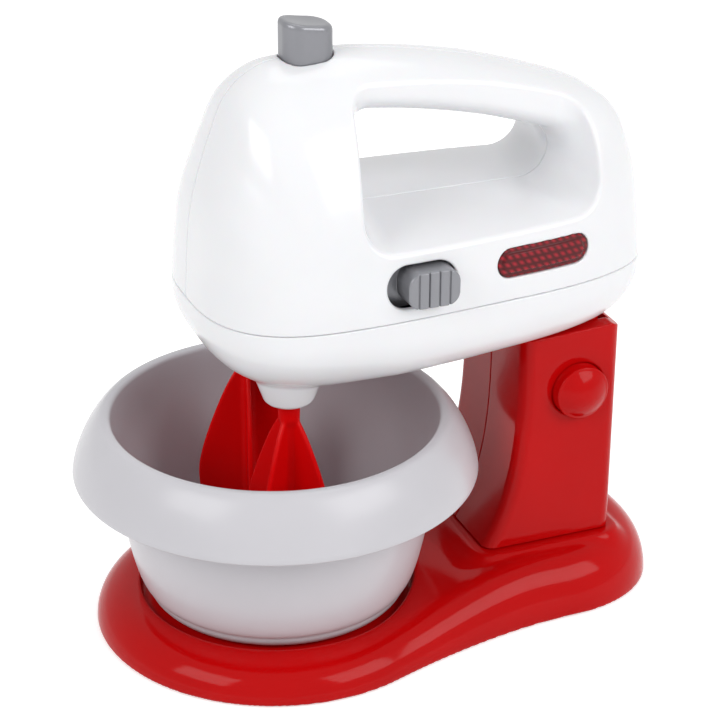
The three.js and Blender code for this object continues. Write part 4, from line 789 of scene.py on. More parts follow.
def housing_half(side, settings):
    def distance(x, y, z):
        whole = housing(x, y, z, settings.opening_rim)
        shell = meet(np.maximum(whole, -(whole + WALL)), joint_plane(y, side), settings.seam)
        shell = meet(shell, PARTING + GAP / 2 - z, settings.seam)
        tower = np.maximum(eject_slot(x, y, GAP), PARTING + CROWN_RISE / 2 - z)
        shell = carve(shell, tower, settings.seam)
        if side > 0:
            for sx, sz in head_screws():
                shell = screw_boss(shell, whole, np.hypot(x - sx, z - sz), y, settings.seam)
            return shell
        slot = stadium(x - SWITCH_X, z - SWITCH_Z, SWITCH_LENGTH, SWITCH_HEIGHT)
        shell = carve(shell, np.maximum(slot, y + HEAD_HALF_WIDTH / 2), settings.slot_edge)
        seat = stadium(x - LENS_X, z - LENS_Z, LENS_LENGTH + GAP * 2, LENS_HEIGHT + GAP * 2)
        return carve(shell, np.maximum(seat, -(whole + LENS_DEPTH + GAP)), settings.seam)

    tail = HEAD_AXIS_X + TAIL_REACH
    step = settings.detail
    fine = step / 2
    side_edge = HEAD_HALF_WIDTH + MARGIN
    top = PARTING + CROWN_RISE
    seam_end = 1.2
    slot_margin = 2
    switch_reach = (13, 9)
    flat_side = 3.5
    crown_depth = 7
    xs = grid_line(HEAD_AXIS_X - NOSE_REACH - MARGIN, tail + MARGIN, step,
                   (EJECT_FRONT - slot_margin, EJECT_REAR + slot_margin, fine),
                   around(SWITCH_X, switch_reach[0], fine), around(LENS_X, LENS_REACH[0], fine))
    ys = side * grid_line(-SEAM_ROOM, side_edge, step, (-SEAM_REACH, seam_end, SEAM_STEP),
                          (seam_end, EJECT_HALF_WIDTH + EJECT_FLANGE, fine),
                          (HEAD_HALF_WIDTH - flat_side, side_edge, fine))
    zs = grid_line(PARTING - SEAM_ROOM, top + MARGIN, step, around(PARTING, SEAM_REACH, SEAM_STEP),
                   around(SWITCH_Z, switch_reach[1], fine), (top - crown_depth, top + MARGIN, fine))
    return moulded("housing_shell_" + hand(side), distance, xs, np.sort(ys), zs)


def nozzle(x, y, z):
    """Both nozzles that the beaters go into."""
    height = np.clip((z - NOZZLE_TIP) / (TRAY_BOTTOM - NOZZLE_TIP), -0.5, 1.5)
    radius = NOZZLE_TIP_RADIUS + (NOZZLE_TOP_RADIUS - NOZZLE_TIP_RADIUS) * height
    walls = [np.hypot(x - BEATER_X, y - side * BEATER_Y) - radius for side in SIDES]
    return meet(np.minimum(*walls), between(z, NOZZLE_TIP, NOZZLE_ROOT), NOZZLE_ROUND)


def tray(settings):
    def distance(x, y, z):
        over = tray_floor(x)
        whole = meet(plan(x, y), over - z, tray_corner(x))
        shell = np.maximum(whole, -(whole + WALL))
        shell = meet(shell, z - PARTING + GAP / 2, settings.seam)
        shell = fuse(shell, nozzle(x, y, z), settings.nozzle_root)
        thick = np.maximum(between(x, DOOR_FRONT - DOOR_LEDGE, DOOR_REAR + DOOR_LEDGE),
                           np.maximum(np.abs(y) - DOOR_HALF_WIDTH - DOOR_LEDGE,
                                      between(z, over + WALL / 2, over + WALL + DOOR_THICKNESS)))
        shell = np.minimum(shell, thick)
        posts = []
        holes = []
        for side in SIDES:
            post = np.hypot(x - TRAY_SCREW[0], y - side * TRAY_SCREW[1])
            posts.append(post - COUNTERBORE - BOSS_WALL)
            holes.append(np.maximum(post - COUNTERBORE, z - PARTING + TRAY_SCREW_SEAT))
            holes.append(np.hypot(x - PEG[0], y - side * PEG[1]) - PEG_RADIUS - GAP)
            bore = np.hypot(x - BEATER_X, y - side * BEATER_Y)
            holes.append(np.maximum(bore - NOZZLE_BORE, z - NOZZLE_TIP - WALL))
            holes.append(np.maximum(bore - BUSHING_RADIUS - GAP, NOZZLE_TIP + WALL - GAP - z))
        boss = np.hypot(x - DOOR_SCREW_X, y)
        posts.append(np.maximum(boss - DOOR_BOSS, z - TRAY_BOTTOM - DOOR_BOSS_HEIGHT))
        inside = np.maximum(whole, z - PARTING + GAP / 2)
        shell = np.minimum(shell, np.maximum(np.minimum.reduce(posts), inside))
        shell = carve(shell, np.minimum.reduce(holes), settings.seam)
        bay = np.maximum(between(x, BAY_FRONT, BAY_REAR), np.abs(y) - BAY_HALF_WIDTH)
        seat = np.maximum(between(x, DOOR_FRONT - GAP, DOOR_REAR + GAP), np.abs(y) - DOOR_HALF_WIDTH - GAP)
        seat = np.maximum(seat, z - over - DOOR_THICKNESS - GAP)
        return carve(shell, np.minimum(bay, seat), settings.seam)

    step = settings.detail
    fine = step / 2
    first_stop = 0.2
    floor_depth = 4
    xs = grid_line(HEAD_AXIS_X - NOSE_REACH - MARGIN, HEAD_AXIS_X + TAIL_REACH + MARGIN, step,
                   around(BEATER_X, NOZZLE_FINE_REACH, fine))
    half = grid_line(first_stop, HEAD_HALF_WIDTH + MARGIN, step, around(BEATER_Y, NOZZLE_FINE_REACH, fine))
    ys = np.concatenate([-half[::-1], half])
    zs = grid_line(NOZZLE_TIP - MARGIN, PARTING + SEAM_ROOM, step,
                   (NOZZLE_TIP - MARGIN, TRAY_BOTTOM + floor_depth, fine),
                   around(PARTING, SEAM_REACH, SEAM_STEP))
    return moulded("tray_shell", distance, xs, ys, zs)


# Controls

def power_lens():
    """Clear cover with a low rim, set into the left housing."""
    def distance(x, y, z):
        outline = stadium(x - LENS_X, z - LENS_Z, LENS_LENGTH, LENS_HEIGHT)
        over = crown(x, y, z)
        raised = LENS_RISE * smoothstep(-outline, LENS_RIM, LENS_RIM + LENS_RIM_SLOPE)
        front = over - LENS_PROUD + LENS_RISE - raised
        form = meet(outline, np.maximum(front, -(over + LENS_DEPTH)), LENS_EDGE)
        return np.maximum(form, y)

    step = 0.25
    return moulded("lens_cover", distance, grid_line(LENS_X - LENS_REACH[0], LENS_X + LENS_REACH[0], step),
                   grid_line(-HEAD_HALF_WIDTH - MARGIN, -HEAD_HALF_WIDTH + LENS_REACH[1], step),
                   grid_line(LENS_Z - LENS_REACH[2], LENS_Z + LENS_REACH[2], step))


def switch_knob():
    """Ribbed knob with the plate that slides behind the slot."""
    length = SWITCH_LENGTH - SWITCH_TRAVEL - KNOB_END_GAP * 2
    height = SWITCH_HEIGHT - KNOB_CLEARANCE * 2
    middle = SWITCH_X + SWITCH_TRAVEL / 2
    front = -HEAD_HALF_WIDTH - KNOB_PROUD
    back = KNOB_PLATE_DEPTH - HEAD_HALF_WIDTH
    pitch = length / KNOB_RIBS

    def distance(x, y, z):
        u = x - middle
        v = z - SWITCH_Z
        outline = rounded_rect(u, v, length / 2, height / 2, height * KNOB_CORNER_SHARE)
        across = np.abs((u / pitch + KNOB_RIBS / 2) % 1 * 2 - 1)
        face = front + KNOB_RIB * across**KNOB_RIB_SHARPNESS * smoothstep(length / 2 - np.abs(u), 0, 1)
        depth = np.maximum(face - y, y + HEAD_HALF_WIDTH - KNOB_PLATE_DEPTH)
        form = meet(outline, depth * KNOB_SLOPE_SHARE, KNOB_EDGE)
        plate = rounded_rect(u, v, (SWITCH_LENGTH + SWITCH_TRAVEL) / 2 + KNOB_CLEARANCE,
                             height / 2 + KNOB_CLEARANCE * 2, KNOB_PLATE_CORNER)
        return np.minimum(form, np.maximum(plate, between(y, back - KNOB_PLATE_OUT, back + KNOB_PLATE_IN)))

    step = 0.2
    reach = (15.5, 10)
    room = (0.5, 2)
    return moulded("ribbed_knob", distance, grid_line(middle - reach[0], middle + reach[0], step),
                   grid_line(front - room[0], back + room[1], step),
                   grid_line(SWITCH_Z - reach[1], SWITCH_Z + reach[1], step))


def eject_button():
    """Dished button on a long stem, with the flange that keeps it in the head."""
    foot = EJECT_TOP - EJECT_DEPTH
    middle = (EJECT_FRONT + EJECT_REAR) / 2
    slope = math.radians(EJECT_SLOPE_DEGREES)
    ball = (EJECT_DISH_RADIUS**2 / 4 + EJECT_DISH_DEPTH**2) / (2 * EJECT_DISH_DEPTH)

    def distance(x, y, z):
        along = (x - EJECT_FRONT) * math.cos(slope) - (z - EJECT_TOP) * math.sin(slope) + EJECT_FRONT
        above = (x - EJECT_FRONT) * math.sin(slope) + (z - EJECT_TOP) * math.cos(slope)
        cap = meet(eject_slot(x, y, 0), np.maximum(foot - z, above), EJECT_EDGE)
        flange = np.maximum(eject_slot(x, y, EJECT_FLANGE), x - EJECT_REAR + EJECT_FLANGE_TRIM)
        flange = np.maximum(flange, between(z, foot, foot + EJECT_FLANGE_THICKNESS))
        dish = np.sqrt((along - middle) ** 2 + y**2 + (above - ball + EJECT_DISH_DEPTH) ** 2) - ball
        return carve(np.minimum(cap, flange), dish, EJECT_DISH_EDGE)

    step = 0.35
    top_step = 0.25
    room = 3
    return moulded("eject_cap", distance, grid_line(EJECT_FRONT - room, EJECT_REAR + room, step),
                   grid_line(-EJECT_HALF_WIDTH - room, EJECT_HALF_WIDTH + room, step),
                   grid_line(foot - MARGIN, EJECT_TOP + MARGIN, step,
                             (EJECT_TOP - room, EJECT_TOP + room, top_step)))


def release_button():
    """Round side button with a domed face, from its face to its stem."""
    face = -COLUMN_HALF_WIDTH - RELEASE_PROUD
    inner = -COLUMN_HALF_WIDTH + WALL + RELEASE_PAD + GAP
    edge = RELEASE_RADIUS - RELEASE_EDGE
    rings = 12
    profile = [(edge * i / rings, face + RELEASE_DOME * (i / rings) ** 2) for i in range(rings + 1)]
    turns = 5
    for i in range(1, turns + 1):
        angle = math.pi / 2 * i / turns
        profile.append((edge + RELEASE_EDGE * math.sin(angle),
                        face + RELEASE_DOME + RELEASE_EDGE * (1 - math.cos(angle))))
    flange = RELEASE_RADIUS + RELEASE_FLANGE
    behind = inner + RELEASE_FLANGE_THICKNESS
    profile += [(RELEASE_RADIUS, inner), (flange, inner), (flange, behind), (RELEASE_STEM_RADIUS, behind),
                (RELEASE_STEM_RADIUS, RELEASE_STEM_END), (0, RELEASE_STEM_END)]
    segments = 96
    return lathe("side_button", profile, segments, (RELEASE[0], 0, RELEASE[1]), "Y")


# Beaters

def beater(side):
    """Two crossed leaf-shaped blades on a core, with a hub and a shaft above them."""
    turn = math.radians(BEATER_TURNS[side])
    centre = side * BEATER_Y
    height = BEATER_TOP - BEATER_BOTTOM
    edge = spline([(r * BEATER_RADIUS, BEATER_BOTTOM + h * height) for r, h in LEAF], 30)
    heights = edge[:, 1]
    order = np.argsort(heights)

    def reach(z):
        return np.interp(z, heights[order], edge[order, 0])

    def distance(x, y, z):
        px = x - BEATER_X
        py = y - centre
        u = px * math.cos(turn) + py * math.sin(turn)
        v = -px * math.sin(turn) + py * math.cos(turn)
        blades = None
        for along, across in ((u, v), (v, u)):
            outline = np.maximum(np.abs(along) - reach(z), between(z, BEATER_BOTTOM, BEATER_TOP))
            outline = outline * LEAF_SLOPE_SHARE
            blade = meet(outline, np.abs(across) - BLADE_THICKNESS / 2, BLADE_EDGE)
            blades = blade if blades is None else fuse(blades, blade, BLADE_FILLET)
        axis = np.hypot(px, py)
        core = meet(axis - BEATER_CORE_RADIUS, between(z, BEATER_BOTTOM + BEATER_CORE_START, BEATER_TOP),
                    BLADE_EDGE)
        swell = BEATER_HUB_SWELL * smoothstep(z, BEATER_TOP - BEATER_HUB_FLARE, BEATER_TOP)
        hub = meet(axis - BEATER_SHAFT_RADIUS - swell,
                   between(z, BEATER_TOP - BEATER_HUB_LENGTH, NOZZLE_TIP - GAP * 2), BEATER_HUB_EDGE)
        shaft = np.maximum(axis - BEATER_SHAFT_RADIUS, between(z, BEATER_TOP, NOZZLE_TIP + BEATER_SHAFT_RISE))
        return np.minimum(fuse(fuse(blades, core, BEATER_FILLET), hub, BEATER_FILLET), shaft)

    step = 0.45
    room = BEATER_RADIUS + MARGIN
    return moulded("leaf_beater_" + hand(side), distance, grid_line(BEATER_X - room, BEATER_X + room, step),
                   grid_line(centre - room, centre + room, step),
                   grid_line(BEATER_BOTTOM - MARGIN, NOZZLE_TIP + BEATER_SHAFT_RISE + MARGIN, step))


# Base and column

def column_front(z):
    down = np.clip((COLUMN_FRONT_TOP - z) / (COLUMN_FRONT_TOP - PEDESTAL_TOP), 0, 1.1)
    return COLUMN_FRONT - COLUMN_SWEEP * down**COLUMN_SWEEP_BEND


def base_outline():
    """Outline of the base, seen from above."""
    waist = math.radians(BASE_WAIST_DEGREES)
    points = []
    steps = 90
    for i in range(steps):
        angle = math.pi - (math.pi - waist) * i / steps
        points.append((BASE_FRONT_RADIUS * math.cos(angle), BASE_FRONT_RADIUS * math.sin(angle)))
    start = np.array((BASE_FRONT_RADIUS * math.cos(waist), BASE_FRONT_RADIUS * math.sin(waist)))
    lead = start + np.array((math.sin(waist), -math.cos(waist))) * BASE_WAIST_LEAD
    end = np.array((BASE_REAR_START, BASE_REAR_HALF_WIDTH))
    trail = end - (BASE_WAIST_TRAIL, 0)
    for i in range(steps):
        t = i / steps
        points.append(tuple(start * (1 - t) ** 3 + lead * 3 * t * (1 - t) ** 2 + trail * 3 * t * t * (1 - t)
                            + end * t**3))
    for i in range(steps + 1):
        angle = math.pi / 2 * (1 - i / steps)
        c, s = math.cos(angle), math.sin(angle)
        reach = (abs(c) ** BASE_REAR_SHARPNESS + abs(s) ** BASE_REAR_SHARPNESS) ** (-1 / BASE_REAR_SHARPNESS)
        points.append((BASE_REAR_START + c * reach * (BASE_REAR - BASE_REAR_START),
                       s * reach * BASE_REAR_HALF_WIDTH))
    return np.array(points)


class Inset:
    """How far a place lies inside the base's outline, read from a fine table."""

    def __init__(self, outline, step=0.5, margin=4.0):
        self.step = step
        self.x0 = outline[:, 0].min() - margin
        self.y0 = -margin
        xs = np.arange(self.x0, outline[:, 0].max() + margin, step)
        ys = np.arange(self.y0, outline[:, 1].max() + margin, step)
        x, y = np.meshgrid(xs, ys, indexing="ij")
        line = np.vstack([outline, [(outline[-1, 0], -1.0)]])
        line = np.vstack([[(outline[0, 0], -1.0)], line])
        nearest = np.full(x.shape, 1e9)
        side = np.zeros(x.shape)
        for (ax, ay), (bx, by) in zip(line, line[1:]):
            ex, ey = bx - ax, by - ay
            size = ex * ex + ey * ey
            if size < 1e-12:
                continue
            t = np.clip(((x - ax) * ex + (y - ay) * ey) / size, 0, 1)
            away = np.hypot(x - ax - t * ex, y - ay - t * ey)
            closer = away < nearest
            nearest = np.where(closer, away, nearest)
            turn = np.sign(ex * (y - ay) - ey * (x - ax))
            side = np.where(closer, turn, side)
        self.table = -side * nearest

    def __call__(self, x, y):
        u = np.clip((x - self.x0) / self.step, 1, self.table.shape[0] - 3)
        v = np.clip((np.abs(y) - self.y0) / self.step, 1, self.table.shape[1] - 3)
        i = np.floor(u).astype(int)
        j = np.floor(v).astype(int)
        total = 0
        for di, wu in zip(range(-1, 3), self.shares(u - i)):
            for dj, wv in zip(range(-1, 3), self.shares(v - j)):
                total = total + wu * wv * self.table[i + di, j + dj]
        return total

    @staticmethod
    def shares(t):
        return ((-t**3 + 2 * t**2 - t) / 2, (3 * t**3 - 5 * t**2 + 2) / 2, (-3 * t**3 + 4 * t**2 + t) / 2,
                (t**3 - t**2) / 2)


def base(settings):
    inset = Inset(base_outline())

    def distance(x, y, z):
        within = inset(x, y)
        top = RIM_FRONT + (RIM_REAR - RIM_FRONT) * smoothstep(x, CLIMB_START, CLIMB_END)
        across = np.maximum(RIM_INSET - within, 0)
        up = np.maximum(z - BASE_LIFT, 0)
        rim = superellipse(across, up, 2.0, RIM_INSET, top - BASE_LIFT)
        rim = np.where(z < BASE_LIFT, np.maximum(rim, -within), rim)
        share = np.clip((PEDESTAL_TOP - z) / (PEDESTAL_TOP - RIM_FRONT + WALL), 0, 1.2)
        front = column_front(PEDESTAL_TOP) - PEDESTAL_MARGIN - PEDESTAL_FRONT_SPREAD * share
        rear = COLUMN_REAR + PEDESTAL_MARGIN + PEDESTAL_SPREAD * share
        half = COLUMN_HALF_WIDTH + PEDESTAL_MARGIN + PEDESTAL_SPREAD * share
        corner = COLUMN_CORNER + PEDESTAL_MARGIN + PEDESTAL_SPREAD / 2 * share
        pedestal = rounded_rect(x - (front + rear) / 2, y, (rear - front) / 2, half, corner)
        pedestal = meet(pedestal * PEDESTAL_SLOPE_SHARE, PEDESTAL_CLEAR - within, PEDESTAL_CLEAR_EDGE)
        pedestal = meet(pedestal, z - PEDESTAL_TOP, settings.pedestal_edge)
        whole = fuse(rim, pedestal, settings.pedestal_root)
        well = np.maximum(np.hypot(x, y) - WELL_RADIUS, WELL_FLOOR - z)
        whole = carve(whole, well, settings.well_edge)
        shell = np.maximum(whole, -(whole + WALL))
        return meet(shell, BASE_LIFT - z, STAND_EDGE)

    step = settings.detail
    room = 1.3
    lowest = 0.2
    height_share = 0.7
    xs = grid_line(-BASE_FRONT_RADIUS - room, BASE_REAR + room, step)
    half = grid_line(step / 2, BASE_FRONT_RADIUS + room, step)
    ys = np.concatenate([-half[::-1], half])
    zs = grid_line(lowest, PEDESTAL_TOP + MARGIN, step * height_share)
    return moulded("base_cover", distance, xs, ys, zs)


def below_head(x, z):
    """Distance above the planes that the head's underside reaches as it tilts."""
    form = z - tray_floor(x) + COLUMN_TOP_STEP
    for degrees in range(5, TILT_DEGREES + 1, 5):
        angle = math.radians(degrees)
        px = x - HINGE[0]
        pz = z - HINGE[1]
        back_x = HINGE[0] + px * math.cos(angle) - pz * math.sin(angle)
        back_z = HINGE[1] + px * math.sin(angle) + pz * math.cos(angle)
        form = np.maximum(form, back_z - tray_floor(back_x) + GAP * 2)
    return form


def column_half(side, settings):
    ball = (RELEASE_DISH_RADIUS**2 + RELEASE_DISH**2) / (2 * RELEASE_DISH)

    def distance(x, y, z):
        front = column_front(z)
        whole = rounded_rect(x - (front + COLUMN_REAR) / 2, y, (COLUMN_REAR - front) / 2, COLUMN_HALF_WIDTH,
                             COLUMN_CORNER) * COLUMN_SLOPE_SHARE
        pad = np.hypot(x - RELEASE[0], z - RELEASE[1])
        shell = np.maximum(whole, -(whole + WALL))
        ledge = np.maximum(CRADLE_HALF_WIDTH + LEDGE_CLEAR - np.abs(y), CRADLE_FRONT - x)
        shell = np.minimum(shell, np.maximum(np.maximum(ledge, whole), HINGE[1] + LEDGE_RISE - z))
        if side < 0:
            backing = np.maximum(whole, y + COLUMN_HALF_WIDTH - WALL - RELEASE_PAD)
            shell = np.minimum(shell, np.maximum(pad - RELEASE_PAD_RADIUS, backing))
            dish = np.sqrt((x - RELEASE[0]) ** 2 + (z - RELEASE[1]) ** 2
                           + (y + COLUMN_HALF_WIDTH + ball - RELEASE_DISH) ** 2) - ball
            shell = carve(shell, dish, STAND_EDGE)
            shell = carve(shell, np.maximum(pad - RELEASE_RADIUS - GAP, y), HOLE_EDGE)
        else:
            for sx, sz in COLUMN_SCREWS:
                shell = screw_boss(shell, whole, np.hypot(x - sx, z - sz), y, HOLE_EDGE)
        shell = meet(shell, joint_plane(y, side), settings.seam)
        shell = meet(shell, below_head(x, z), STAND_EDGE)
        return meet(shell, PEDESTAL_TOP + GAP - z, settings.seam)

    step = settings.detail
    fine = step / 2
    seam_room = 0.5
    foot_rise = 1.5
    top_room = 4
    dish_reach = 14
    hinge_reach = (2, 8)
    xs = grid_line(column_front(PEDESTAL_TOP) - MARGIN, COLUMN_REAR + MARGIN, fine)
    ys = grid_line(-seam_room, COLUMN_HALF_WIDTH + MARGIN, fine, around(0, SEAM_REACH, SEAM_STEP))
    zs = grid_line(PEDESTAL_TOP - GAP, COLUMN_FRONT_TOP + top_room, step,
                   (PEDESTAL_TOP - SEAM_REACH, PEDESTAL_TOP + foot_rise, SEAM_STEP),
                   around(RELEASE[1], dish_reach, fine),
                   (HINGE[1] - hinge_reach[0], HINGE[1] + hinge_reach[1], fine))
    return moulded("column_shell_" + hand(side), distance, xs, np.sort(side * ys), zs)


# Bowl

def bowl(settings):
    heel = BOWL_FLOOR + BOWL_HEEL_RISE
    mouth = BOWL_TOP - BOWL_WALL / 2

    def radius(z):
        share = ((z - heel) / (mouth - heel)) ** BOWL_SWELL
        return BOWL_HEEL_RADIUS + (BOWL_MOUTH_RADIUS - BOWL_HEEL_RADIUS) * share

    def flange(inset, share):
        angle = math.pi / 2 * share
        c, s = math.cos(angle), math.sin(angle)
        reach = (c**FLANGE_SHARPNESS + s**FLANGE_SHARPNESS) ** (-1 / FLANGE_SHARPNESS) if 0 < share < 1 else 1
        foot = BOWL_MOUTH_RADIUS + BOWL_WALL / 2
        return (foot + (BOWL_FLANGE_RADIUS - inset - foot) * s * reach,
                BOWL_LIP + (BOWL_TOP - inset - BOWL_LIP) * c * reach)

    corner = BOWL_HEEL_RISE
    corner_steps = 8
    quarter = [math.pi / 2 * i / corner_steps for i in range(1, corner_steps + 1)]
    ring = 3.0
    outside = [(0.0, BOWL_FLOOR), (BOWL_FOOT_RADIUS - ring, BOWL_FLOOR), (BOWL_FOOT_RADIUS, BOWL_FLOOR)]
    for angle in quarter:
        outside.append((BOWL_HEEL_RADIUS - corner + corner * math.sin(angle),
                        BOWL_FLOOR + corner * (1 - math.cos(angle))))
    wall_steps = 26
    crowding = 1.5
    below_flange = 1.4
    walls = [heel + (mouth - heel) * (i / wall_steps) ** crowding for i in range(1, wall_steps)]
    outside += [(radius(z), z) for z in walls if z < BOWL_TOP - BOWL_WALL * below_flange]
    turns = 20
    under = [flange(BOWL_WALL, i / turns) for i in range(turns + 1)]
    over = [flange(0, i / turns) for i in range(turns, -1, -1)]
    lip_middle = (under[-1][0] + over[0][0]) / 2
    lip_half = (over[0][0] - under[-1][0]) / 2
    half_turn = [math.pi * i / corner_steps for i in range(1, corner_steps)]
    lip = [(lip_middle - lip_half * math.cos(angle), BOWL_LIP - lip_half * math.sin(angle) * BOWL_LIP_DEPTH)
           for angle in half_turn]
    crest = over[-1][0]
    mouth_inner = BOWL_MOUTH_RADIUS - BOWL_WALL
    edge_steps = 6
    edge = []
    for i in range(1, edge_steps):
        t = i / edge_steps
        edge.append((crest + (mouth_inner - crest) * (1 - (1 - t) ** 2) ** 0.5,
                     BOWL_TOP - BOWL_WALL * (1 - math.cos(math.pi / 2 * t))))
    inner = [(radius(z) - BOWL_WALL, z) for z in reversed(walls)
             if BOWL_FLOOR + BOWL_INNER_CORNER < z < BOWL_TOP - BOWL_WALL]
    inside = BOWL_FLOOR + BOWL_WALL
    corner_middle = BOWL_HEEL_RADIUS - BOWL_WALL + BOWL_INNER_CORNER_OUT - BOWL_INNER_CORNER
    turn = [(corner_middle + BOWL_INNER_CORNER * math.cos(angle),
             inside + BOWL_INNER_CORNER_RISE - BOWL_INNER_CORNER_RISE * math.sin(angle)) for angle in quarter]
    middle = [(BOWL_FOOT_RADIUS - ring * 2, inside), (0.0, inside)]
    profile = outside + under + lip + over + edge + inner + turn + middle
    return lathe("mixing_bowl", profile, settings.segments)


# Screws

def screw_tree():
    """Geometry nodes that set a cross-head screw on every point, along the point's own direction."""
    tree = bpy.data.node_groups.new("Cross-head screws", "GeometryNodeTree")
    tree.interface.new_socket("Geometry", in_out="INPUT", socket_type="NodeSocketGeometry")
    for label in SCREW_SIZES:
        tree.interface.new_socket(label, in_out="INPUT", socket_type="NodeSocketFloat")
    tree.interface.new_socket("Finish", in_out="INPUT", socket_type="NodeSocketMaterial")
    tree.interface.new_socket("Geometry", in_out="OUTPUT", socket_type="NodeSocketGeometry")
    add = tree.nodes.new
    link = tree.links.new
    entry = add("NodeGroupInput")
    out = add("NodeGroupOutput")

    def vector(x=None, y=None, z=None):
        node = add("ShaderNodeCombineXYZ")
        for axis, source in zip("XYZ", (x, y, z)):
            if source is not None:
                link(source, node.inputs[axis])
        return node.outputs["Vector"]

    def scaled(source, share):
        node = add("ShaderNodeMath")
        node.operation = "MULTIPLY"
        node.inputs[1].default_value = share
        link(source, node.inputs[0])
        return node.outputs["Value"]

    def raised(mesh, height):
        node = add("GeometryNodeTransform")
        link(mesh, node.inputs["Geometry"])
        link(vector(z=height), node.inputs["Translation"])
        return node.outputs["Geometry"]

    def round_bar(radius, height):
        node = add("GeometryNodeMeshCylinder")
        node.inputs["Vertices"].default_value = 32
        link(radius, node.inputs["Radius"])
        link(height, node.inputs["Depth"])
        return node.outputs["Mesh"]

    recess = add("GeometryNodeMeshBoolean")
    recess.operation = "DIFFERENCE"
    link(round_bar(entry.outputs["Head radius"], entry.outputs["Head height"]), recess.inputs["Mesh 1"])
    long, narrow = entry.outputs["Recess length"], entry.outputs["Recess width"]
    for x, y in ((long, narrow), (narrow, long)):
        bar = add("GeometryNodeMeshCube")
        link(vector(x, y, entry.outputs["Recess depth"]), bar.inputs["Size"])
        link(raised(bar.outputs["Mesh"], scaled(entry.outputs["Head height"], 0.5)), recess.inputs["Mesh 2"])
    whole = add("GeometryNodeJoinGeometry")
    link(recess.outputs["Mesh"], whole.inputs["Geometry"])
    shank = round_bar(entry.outputs["Shank radius"], entry.outputs["Shank length"])
    link(raised(shank, scaled(entry.outputs["Shank length"], -0.5)), whole.inputs["Geometry"])
    way = add("GeometryNodeInputNamedAttribute")
    way.data_type = "FLOAT_VECTOR"
    way.inputs["Name"].default_value = "way"
    turn = add("FunctionNodeAlignEulerToVector")
    turn.axis = "Z"
    link(way.outputs["Attribute"], turn.inputs["Vector"])
    spots = add("GeometryNodeInstanceOnPoints")
    link(entry.outputs["Geometry"], spots.inputs["Points"])
    link(whole.outputs["Geometry"], spots.inputs["Instance"])
    link(turn.outputs["Rotation"], spots.inputs["Rotation"])
    solid = add("GeometryNodeRealizeInstances")
    link(spots.outputs["Instances"], solid.inputs["Geometry"])
    coated = add("GeometryNodeSetMaterial")
    link(solid.outputs["Geometry"], coated.inputs["Geometry"])
    link(entry.outputs["Finish"], coated.inputs["Material"])
    link(coated.outputs["Geometry"], out.inputs["Geometry"])
    return tree


SCREW_SIZES = ("Head radius", "Head height", "Recess length", "Recess width", "Recess depth",
               "Shank radius", "Shank length")
SCREWS = {
    "stand": ("base_screw_1", "base_screw_2", "base_screw_3", "base_screw_4", "column_screw_1",
              "column_screw_2", "column_foot_screw_left", "column_foot_screw_right"),
    "head": ("housing_screw_1", "housing_screw_2", "housing_screw_3", "tray_screw_left", "tray_screw_right",
             "gear_plate_screw_left", "gear_plate_screw_right"),
    "door": ("battery_door_screw",),
}
SCREW_EDGE = 0.15
SCREW_SHANK_LIMIT = 2


def node_points(node):
    mesh = frame["nodes"][node].data
    points = np.empty(len(mesh.vertices) * 3)
    mesh.vertices.foreach_get("co", points)
    return points.reshape(-1, 3)


def screw_place(node):
    """Middle of a screw's head and the way that it faces, from the node's own points."""
    points = node_points(node)
    low, high = points.min(0), points.max(0)
    axis = 1 if node.startswith(("housing_screw", "column_screw")) else 2
    middle = (low + high) / 2
    across = np.delete(points - middle, axis, 1)
    wide = points[np.hypot(*across.T) > SCREW_SHANK_LIMIT * MILLIMETRE][:, axis]
    spot = middle.copy()
    spot[axis] = (wide.min() + wide.max()) / 2
    way = np.zeros(3)
    way[axis] = 1 if spot[axis] > middle[axis] else -1
    return spot, way, wide.max() - wide.min(), high[axis] - low[axis]


def screws(body, head_height, places, settings):
    """The screw heads of one size on one body, made by Geometry Nodes and kept as a plain mesh."""
    seeds = bpy.data.meshes.new("Screw places")
    seeds.from_pydata([tuple(spot) for spot, _, _, _ in places], [], [])
    ways = seeds.attributes.new("way", "FLOAT_VECTOR", "POINT")
    ways.data.foreach_set("vector", np.concatenate([way for _, way, _, _ in places]))
    holder = new_object("Screw places", seeds)
    tree = bpy.data.node_groups.get("Cross-head screws") or screw_tree()
    modifier = holder.modifiers.new("Screws", "NODES")
    modifier.node_group = tree
    sizes = dict(zip(SCREW_SIZES, (settings.screw_head, head_height, settings.recess_length,
                                   settings.recess_width, head_height, settings.screw_shank,
                                   min(length for _, _, _, length in places) - head_height)))
    for item in tree.interface.items_tree:
        if item.in_out == "INPUT" and item.name in sizes:
            modifier[item.identifier] = sizes[item.name]
        elif item.in_out == "INPUT" and item.name == "Finish":
            modifier[item.identifier] = steel()
    holder.update_tag()
    depsgraph = bpy.context.evaluated_depsgraph_get()
    mesh = bpy.data.meshes.new_from_object(holder.evaluated_get(depsgraph))
    bpy.data.objects.remove(holder)
    piece = new_object(f"{body}_screws_{round(head_height / MILLIMETRE * 10)}", mesh)
    broken_edges(piece, SCREW_EDGE)
    return piece


# Nodes that keep their own shape

KEPT = {
    "stand": {"hinge_pin": steel},
    "release": {"release_latch": natural_plastic},
    "head": {"switch_body": dark_plastic, "lamp_board": board, "battery_box": dark_plastic,
             "cell_left": cell_wrap, "cell_right": cell_wrap, "contact_left": steel, "contact_right": steel,
             "contact_bridge": steel, "motor": steel, "gear_plate": natural_plastic, "bushing_left": brass,
             "bushing_right": brass, "lamp": red_plastic},
    "drive_left": {"spindle_left": steel, "worm_wheel_left": natural_plastic},
    "drive_right": {"spindle_right": steel, "worm_wheel_right": natural_plastic},
    "worm_shaft": {"worm": natural_plastic},
    "eject": {"eject_fork": natural_plastic},
}

